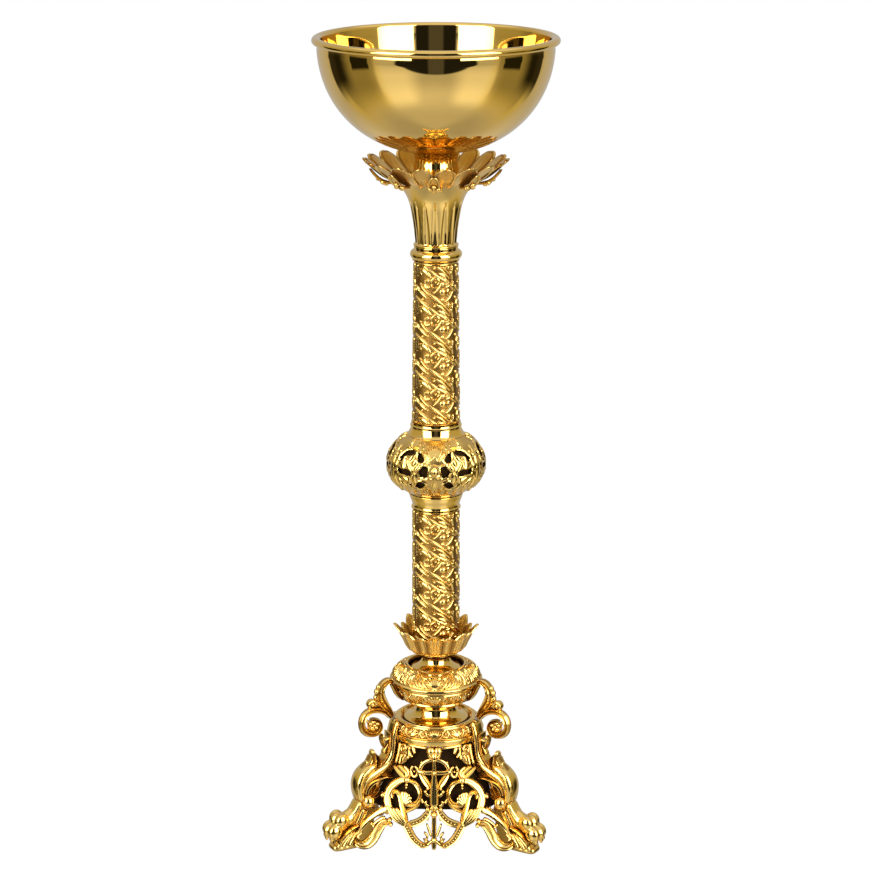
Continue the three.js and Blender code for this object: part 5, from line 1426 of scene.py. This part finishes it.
def panel_half(thick, side):
    """The scrollwork on one side of the panel's shaft."""
    def ribbon(points, width, depth=1.0, ridges=1, groove=0.35, lift=0.0, rims=False):
        drawn = [(side * x, z) for x, z in points]
        width = np.atleast_1d(width) * 1.27
        return strip(drawn, width, thick * depth, lambda x, out, z: bent_panel(x, out + lift, z),
                     ridges, groove, flat_back=True, rims=rims)

    lower = [(41, 40.5), (35.8, 34.4), (32.4, 28), (27.1, 18.6), (18.8, 11.2), (11.8, 9.2), (7.4, 12.4),
             (10.2, 15.4)]
    upper = [(5, 57.5), (9.5, 49.2), (15.9, 42.2), (24.7, 37.6), (34, 35.4)]
    parts = [
        ribbon([(36, 92.4), (44, 90.6), (51.6, 86), (60, 77.3), (62.8, 67.1), (60.4, 57.6), (55, 51)],
               [5, 7, 8.2, 8.6, 8.6, 8, 6], 1.15, 2, 0.12),
        ribbon(lower, [5, 8, 8.4, 8.4, 8, 6.6, 5, 3.4], 1.35, groove=0.5, lift=0.8, rims=True),
        ribbon(upper, [5, 7.4, 7.8, 7.8, 7], 1.0, groove=0.5, rims=True),
        ribbon([(36, 92.6), (26, 89.6), (19.6, 82), (18.4, 73.6), (21.8, 65), (30.4, 60.8), (38, 61)],
               [3.6, 5, 5.4, 5.4, 5.2, 5, 3.6], 1.1, 2, 0.5),
        ribbon([(18.8, 71), (20.8, 64), (25.6, 58.4), (31.4, 54.8), (37.8, 51)],
               [3.4, 5, 5.4, 5, 3.6], 1.05, 2, 0.5),
        ribbon([(35.4, 36.4), (39.4, 49.9), (42.6, 62), (45.4, 71.6), (50.8, 75.6), (54.8, 72.4),
                (53.6, 66)],
               [4.6, 6.4, 6.6, 6.2, 5.4, 4.4, 3], 1.3, 2, 0.45),
        ribbon([(58.6, 55), (69, 50.3), (80.7, 42.2), (89.5, 34.6), (95.5, 27.3), (98.8, 22)],
               [7, 6.6, 6.2, 5.8, 5.4, 3.4], 1.5),
        ribbon([(55.5, 37.4), (65.6, 35.6), (71.6, 28.4), (77, 19.6), (84, 11.4), (91, 8.4), (98, 10.2),
                (101.6, 16.4), (99, 21)],
               [5, 8.4, 9.6, 10.4, 11.6, 11.4, 9, 6.4, 3.4], 1.5, 3, 0.45),
        ribbon([(63.5, 43), (69, 40.4), (74.6, 36.6), (79.4, 32.6)], [3, 3.6, 3.4, 2.4], 1.0),
        ribbon([(92, 25.6), (96.4, 23.6), (98, 19.4), (95, 17.4)], [3, 3.6, 3.2, 2.2], 1.7),
        ribbon([(1.5, 121.4), (9, 119.6), (15.4, 114.6), (18.4, 106.6)], [3.4, 4.4, 4.4, 3.4], 1.3),
        ribbon([(18.4, 104.6), (15, 98), (9.8, 90), (4, 83)], [3.6, 7.4, 7.4, 3], 1.15, 2, 0.55),
        ribbon([(0, 104.6), (11, 104.4), (22, 105.6)], [5.4, 4.2, 4], 1.4),
        ribbon(arc_line((0, 0), 1, 90, 450, 24) * (4.4, 6.6) + (25.4, 105), 3.0, 1.5),
        ribbon([(29, 101.4), (33, 97.6), (36.4, 93.6)], [2.6, 3.8, 4.4], 1.1, 2),
        ribbon([(37, 93), (43.4, 97.2), (50.6, 102.4), (56.4, 107)], [4, 5.4, 5, 2.2], 1.15, 2, 0.4),
        ribbon([(36.4, 94), (38.6, 101), (44.4, 106), (51, 108.4)], [4, 5, 4.6, 2], 1.1, 2, 0.4),
        ribbon([(36, 94), (33.6, 100.6), (36, 106), (41.6, 109)], [3, 3.6, 3.2, 1.8], 1.0),
        ribbon(arc_line((41.6, 131), 5.4, -60, 330, 30, 3.4), [3.4, 3, 2.4], 1.0),
        ribbon([(34, 136.4), (34.4, 128), (33.4, 118.6)], [4.4, 4.6, 2.2], 1.15, 2),
        ribbon([(29.4, 136.4), (27.4, 131.4), (24.6, 126.4)], [4, 3.8, 2], 1.0),
        ribbon([(33.6, 128.4), (31.4, 124.6), (28.4, 122.4)], [3, 3, 1.8], 0.95),
        ribbon([(37.6, 124), (41.6, 120), (42.6, 113.6)], [3.4, 3.8, 2], 0.95),
        ribbon([(44.6, 124), (46.4, 117), (47.6, 109.4)], [3, 3.4, 2.4], 1.0),
        ribbon([(49, 136.6), (50, 124), (53, 110)], [3.4, 3.6, 3], 1.2),
        ribbon([(36, 137), (20, 136.6), (8.5, 136.2)], [3, 2.6, 2.4], 1.0),
        ribbon([(8.4, 129.6), (6, 125.4), (2.4, 122.6)], [2, 3.2, 2.6], 1.0),
        ribbon([(9.6, 38), (6.6, 29), (3.4, 20)], [1.8, 2.8, 2.2], 0.95),
        ribbon([(13, 27), (8.8, 21), (10.6, 16.4), (14.6, 17.8)], [1.8, 2.8, 2.4, 1.6], 0.95),
        ribbon([(0, 17), (4.6, 12.8), (9, 9.6)], [3, 3.4, 2.6], 1.2),
        ribbon([(5.4, 60.4), (9.4, 61.6), (11, 65.4), (8, 67.4)], [2.8, 3, 2.8, 2], 0.95),
        ribbon([(4.6, 74), (8.6, 75), (11.4, 79)], [2.6, 3.2, 2.4], 0.95),
        ribbon([(19, 70), (16.4, 68.6), (14.4, 65)], [2.6, 3, 2.2], 0.95),
    ]
    for x, z, radius, height in (
        (36, 92.4, 4.6, 1.5), (36.2, 86, 2.3, 1.0), (36.2, 82.6, 1.7, 1.0), (8.6, 56.4, 3.0, 1.2),
        (57.6, 40, 3.0, 1.2), (56, 34.6, 2.8, 1.2), (69.4, 68.8, 3.4, 1.3), (69, 53.6, 2.8, 1.3),
        (66, 71, 2.0, 1.1), (11.4, 79.4, 2.4, 1.0), (8.4, 83.4, 2.2, 1.0), (14.6, 66, 2.2, 1.0),
        (10.4, 15.2, 2.7, 1.5), (78.6, 32.8, 2.4, 1.3), (81, 34.6, 2.0, 1.2), (25.4, 105, 1.7, 1.3),
        (16, 117.4, 2.2, 1.2), (41.6, 131, 1.9, 1.1), (29.6, 123.4, 1.9, 1.0), (8.4, 43.4, 2.0, 1.0),
        (4.6, 132, 5.8, 1.4),
    ):
        size = (radius, thick * height * 0.62, radius)
        parts.append(lump((side * x, 0, z), size, bent_panel, segments=12))
    ground = strip([(side * 41.6, 137), (side * 43, 124), (side * 47.4, 109)], [20, 17, 8], thick * 0.5,
                   lambda x, out, z: bent_panel(x, out - 1.2, z), flat_back=True)
    # The ground behind the ribbons gets a low relief value: painted shade between them.
    set_relief(ground, 0.3)
    parts.append(ground)
    for start, middle, end in (
        ((61.4, 58.6), (52.4, 43.6), (37, 34)), ((58, 57), (48.6, 44.6), (36.6, 35)),
        ((54, 56), (45.6, 46), (36.2, 36)), ((49.8, 56.4), (43, 47.4), (36, 37)),
    ):
        parts.append(ribbon([start, middle, end], [3.4, 4.2, 3], 1.35, lift=0.5))
    for x, z in ((41.8, 77.6), (37, 77.6), (32.8, 75.6), (29.4, 71.8), (28.6, 66.6)):
        middle = (38.6 * 0.45 + x * 0.55, 60.6 * 0.45 + z * 0.55 + 0.6)
        parts.append(ribbon([(38.6, 60.6), middle, (x, z)], [2.4, 4.4, 4.8], 1.05, lift=0.4))
    for band, start, count, proud in ((lower, 0.06, 12, 2.2), (upper, 0.1, 7, 0.8)):
        places = (np.linspace(start, 0.8, count) * 100).astype(int)
        for x, z in smooth_line(band, 101)[places]:
            parts.append(lump((side * x, proud, z), (1.25, 1.1, 1.25), bent_panel, segments=8))
    return parts


def panel(settings):
    """One pierced panel: a ringed cross on a tapering shaft, with roundels and crossing bands."""
    thick = settings.panel_thickness / MM

    def ribbon(points, width, depth, ridges=1):
        return strip(points, width, thick * depth, bent_panel, ridges, flat_back=True)

    shaft = [(0, 130), (0, 118), (0, 106), (0, 98), (0, 91), (0, 74), (0, 59)]
    parts = [
        ribbon(shaft, [7, 5, 6, 8.4, 11.6, 11.6, 11], 1.8),
        ribbon([(0, 63), (0, 58), (0, 53.6)], [11, 15, 22], 1.6, 3),
        ribbon([(0, 50), (0, 34), (0, 16)], [5.6, 6.4, 5.8], 1.4),
        ribbon([(0, 19), (0, 10), (0, 2.8)], [5.4, 7, 5], 1.5),
    ]
    for z, radius, height in (
        (126.4, 4.6, 1.4), (121, 3.4, 1.6), (105, 3.8, 2.1), (49.6, 4.4, 1.7), (16.4, 4.0, 1.6),
    ):
        size = (radius, thick * height * 0.62, radius)
        parts.append(lump((0, 0, z), size, bent_panel, segments=14))
    parts += panel_half(thick, -1) + panel_half(thick, 1)
    return join("panel", parts)


def lining():
    """The dark bell behind the panels, drawn out towards the legs: painted shade inside the base."""
    low, high = node_span("base_lining")
    low -= 3

    def place(u, v):
        angle = u * TURN
        z = low + (high - low) * v
        round_part = np.interp(z, [low, high], [58.0, 49.0])
        drawn_out = np.interp(z, [51, 80, 100, 112, 131], [86, 73, 60, 55, 49])
        share = (0.5 - 0.5 * np.sin(3 * angle)) ** 1.7
        return around(round_part + (drawn_out - round_part) * share, angle, z)

    piece = grid_piece("base_lining_shell", 120, 24, place)
    close(piece)
    apply_modifier(piece, "SOLIDIFY", thickness=1.2 * MM, offset=-1.0)
    smooth(piece, 40)
    return piece


class STOUP_OT_tripod(bpy.types.Operator):
    """Cast the legs, the scroll brackets, the pierced panels and the dark lining behind them, which is
    painted shade
    """

    bl_idname = "stoup.tripod"
    bl_label = "Tripod"

    def execute(self, context):
        settings = context.scene.stoup_base
        for node, maker, angles in (
            ("leg", leg, LEG_ANGLES),
            ("scroll_bracket", bracket, LEG_ANGLES),
            ("panel", panel, PANEL_ANGLES),
        ):
            first = maker(settings)
            smooth(first)
            for side, degrees in angles.items():
                twin = copy_turned(first, f"{node}_{side}_casting", degrees)
                finish_piece(twin, f"{node}_{side}", "cast_brass")
            bpy.data.objects.remove(first)
        finish_piece(lining(), "base_lining", "dark_shaded_inside")
        return {"FINISHED"}


# Hidden pieces and stage

class STOUP_OT_fittings(bpy.types.Operator):
    """Give the rod, nuts, screws, pins and seals of the frame their finishes"""

    bl_idname = "stoup.fittings"
    bl_label = "Fittings"

    def execute(self, context):
        slots = {p["node"]: p["material_slot"] for p in frame["record"]["subparts"]}
        for node, piece in frame["nodes"].items():
            piece.data.materials.clear()
            piece.data.materials.append(material(FINISH_OF_SLOT[slots[node]]))
            if slots[node] == "cast_brass":
                set_relief(piece, 1.0)
        return {"FINISHED"}


def studio_world(settings):
    """A pale room with two soft boxes in front, a dark gap between them and dark flags at the sides."""
    world = bpy.data.worlds.new("studio")
    bpy.context.scene.world = world
    paint = Paint(world)
    direction = paint.node("ShaderNodeTexCoord", {}, {}, "Generated")
    split = paint.node("ShaderNodeSeparateXYZ", {}, {0: direction})
    x, y, z = (Value(paint, split.socket.node.outputs[i]) for i in range(3))
    degrees = 180 / math.pi
    bearing = paint.math("ABSOLUTE", paint.math("ARCTAN2", x, y * -1.0) * degrees - CAMERA_BEARING)
    rise = paint.math("ARCSINE", z) * degrees

    def patch(bearings, rises):
        """A soft-edged patch of the room: its lower and upper limits and the width of its edges."""
        return paint.band(bearing, *bearings) * paint.band(rise, *rises)

    floor = 0.8 + 0.25 * paint.smooth(rise, -72, -46)
    light = settings.room * floor * (1 - 0.3 * paint.smooth(rise, -46, -26))
    light = light + patch((34, 54, 22), (-46, -26, 16)) * 0.38
    light = light * (1 - 0.45 * patch((66, 112, 6), (-30, -6, 22)))
    light = light * (1 - 0.24 * patch((90, 130, 50), (-75, -46, 26)))
    light = light + paint.smooth(rise, 40, 52) * 0.35
    boxes = patch((24, 61, 1.5), (-1, 45, 2))
    light = light * (1 - boxes) + boxes * settings.boxes
    gap = (1 - paint.smooth(bearing, 20, 22)) * paint.band(rise, -9, 40, 1.5)
    across, down = bearing * (1 / 40), (rise + 7.0) * (1 / 17)
    arc = 1 - paint.smooth(across * across + down * down, 0.9, 1.1)
    streak = 1 - paint.smooth(bearing, 6, 9)
    dark = paint.math("MAXIMUM", gap, arc * (1 - boxes))
    light = light * (1 - dark * (0.97 - streak * 0.13))
    behind = 1 - paint.smooth(bearing, 125, 128)
    flags = paint.smooth(bearing, 90, 108) * behind * paint.band(rise, -22, -6, 14)
    blocks = patch((70, 90, 2), (-17, -4, 3))
    light = light * (1 - flags * 0.94) * (1 - blocks * 0.94)
    seen = paint.node("ShaderNodeLightPath", {}, {}, "Is Camera Ray")
    amber = patch((72, 116, 22), (-40, 16, 26)) * (1 - seen)
    tint = paint.node("ShaderNodeCombineColor", {}, {0: 1.0, 1: 1 - 0.1 * amber, 2: 1 - 0.55 * amber})
    paint.set(Color=tint, Strength=seen * 1.0 + (1 - seen) * light)


class STOUP_OT_stage(bpy.types.Operator):
    """Set the pale floor, the studio light and the camera"""

    bl_idname = "stoup.stage"
    bl_label = "Stage"

    def execute(self, context):
        settings = context.scene.stoup_stage
        deselect()
        bpy.ops.mesh.primitive_circle_add(vertices=96, radius=settings.floor_radius, fill_type="NGON")
        floor = context.object
        floor.name = "pale_floor"
        paint = Paint(bpy.data.materials.new("pale_floor"))
        paint.set(Base_Color=(0.02, 0.02, 0.02, 1), Roughness=1.0, Specular_IOR_Level=0.0,
                  Emission_Color=(1, 1, 1, 1), Emission_Strength=1.0)
        floor.data.materials.append(paint.owner)
        floor.visible_glossy = False
        floor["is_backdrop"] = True
        studio_world(settings)
        context.scene.view_settings.view_transform = "Standard"
        camera = bpy.data.objects.new("camera", bpy.data.cameras.new("camera"))
        context.scene.collection.objects.link(camera)
        bearing = math.radians(CAMERA_BEARING)
        camera.location = (CAMERA_AWAY * math.sin(bearing), -CAMERA_AWAY * math.cos(bearing), CAMERA_HEIGHT)
        camera.rotation_euler = (math.radians(90 - CAMERA_DIP), 0, bearing)
        camera.data.sensor_width = SENSOR_WIDTH
        camera.data.lens = FOCAL_PIXELS / PICTURE_SIDE * SENSOR_WIDTH
        camera.data.shift_x = SHIFT_PIXELS / PICTURE_SIDE
        camera.data.clip_end = 100
        context.scene.camera = camera
        return {"FINISHED"}


class STOUP_PT_sidebar(bpy.types.Panel):
    bl_idname = "STOUP_PT_sidebar"
    bl_label = "Holy Water Stoup"
    bl_space_type = "VIEW_3D"
    bl_region_type = "UI"
    bl_category = "Stoup"

    def draw(self, context):
        for group in (context.scene.stoup_bowl, context.scene.stoup_stem, context.scene.stoup_base,
                      context.scene.stoup_finish, context.scene.stoup_stage):
            for name in group.bl_rna.properties.keys():
                if name not in ("rna_type", "name"):
                    self.layout.prop(group, name)
        for operator in OPERATORS:
            self.layout.operator(operator.bl_idname)


GROUPS = {
    "stoup_bowl": BowlSettings,
    "stoup_stem": StemSettings,
    "stoup_base": BaseSettings,
    "stoup_finish": FinishSettings,
    "stoup_stage": StageSettings,
}
OPERATORS = (
    STOUP_OT_fittings, STOUP_OT_bowl, STOUP_OT_petals, STOUP_OT_columns, STOUP_OT_knops, STOUP_OT_necks,
    STOUP_OT_tripod, STOUP_OT_stage,
)
CLASSES = tuple(GROUPS.values()) + OPERATORS + (STOUP_PT_sidebar,)


def register():
    for cls in CLASSES:
        bpy.utils.register_class(cls)
    for name, cls in GROUPS.items():
        setattr(bpy.types.Scene, name, bpy.props.PointerProperty(type=cls))


def unregister():
    for name in GROUPS:
        delattr(bpy.types.Scene, name)
    for cls in reversed(CLASSES):
        bpy.utils.unregister_class(cls)


def main():
    register()
    for operator in OPERATORS:
        group, name = operator.bl_idname.split(".")
        getattr(getattr(bpy.ops, group), name)()
    sizes = {"cad": CAD_BOX, "visual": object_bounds()}
    {key: [list(corner) for corner in box] for key, box in sizes.items()}


if __name__ == "__main__":
    main()
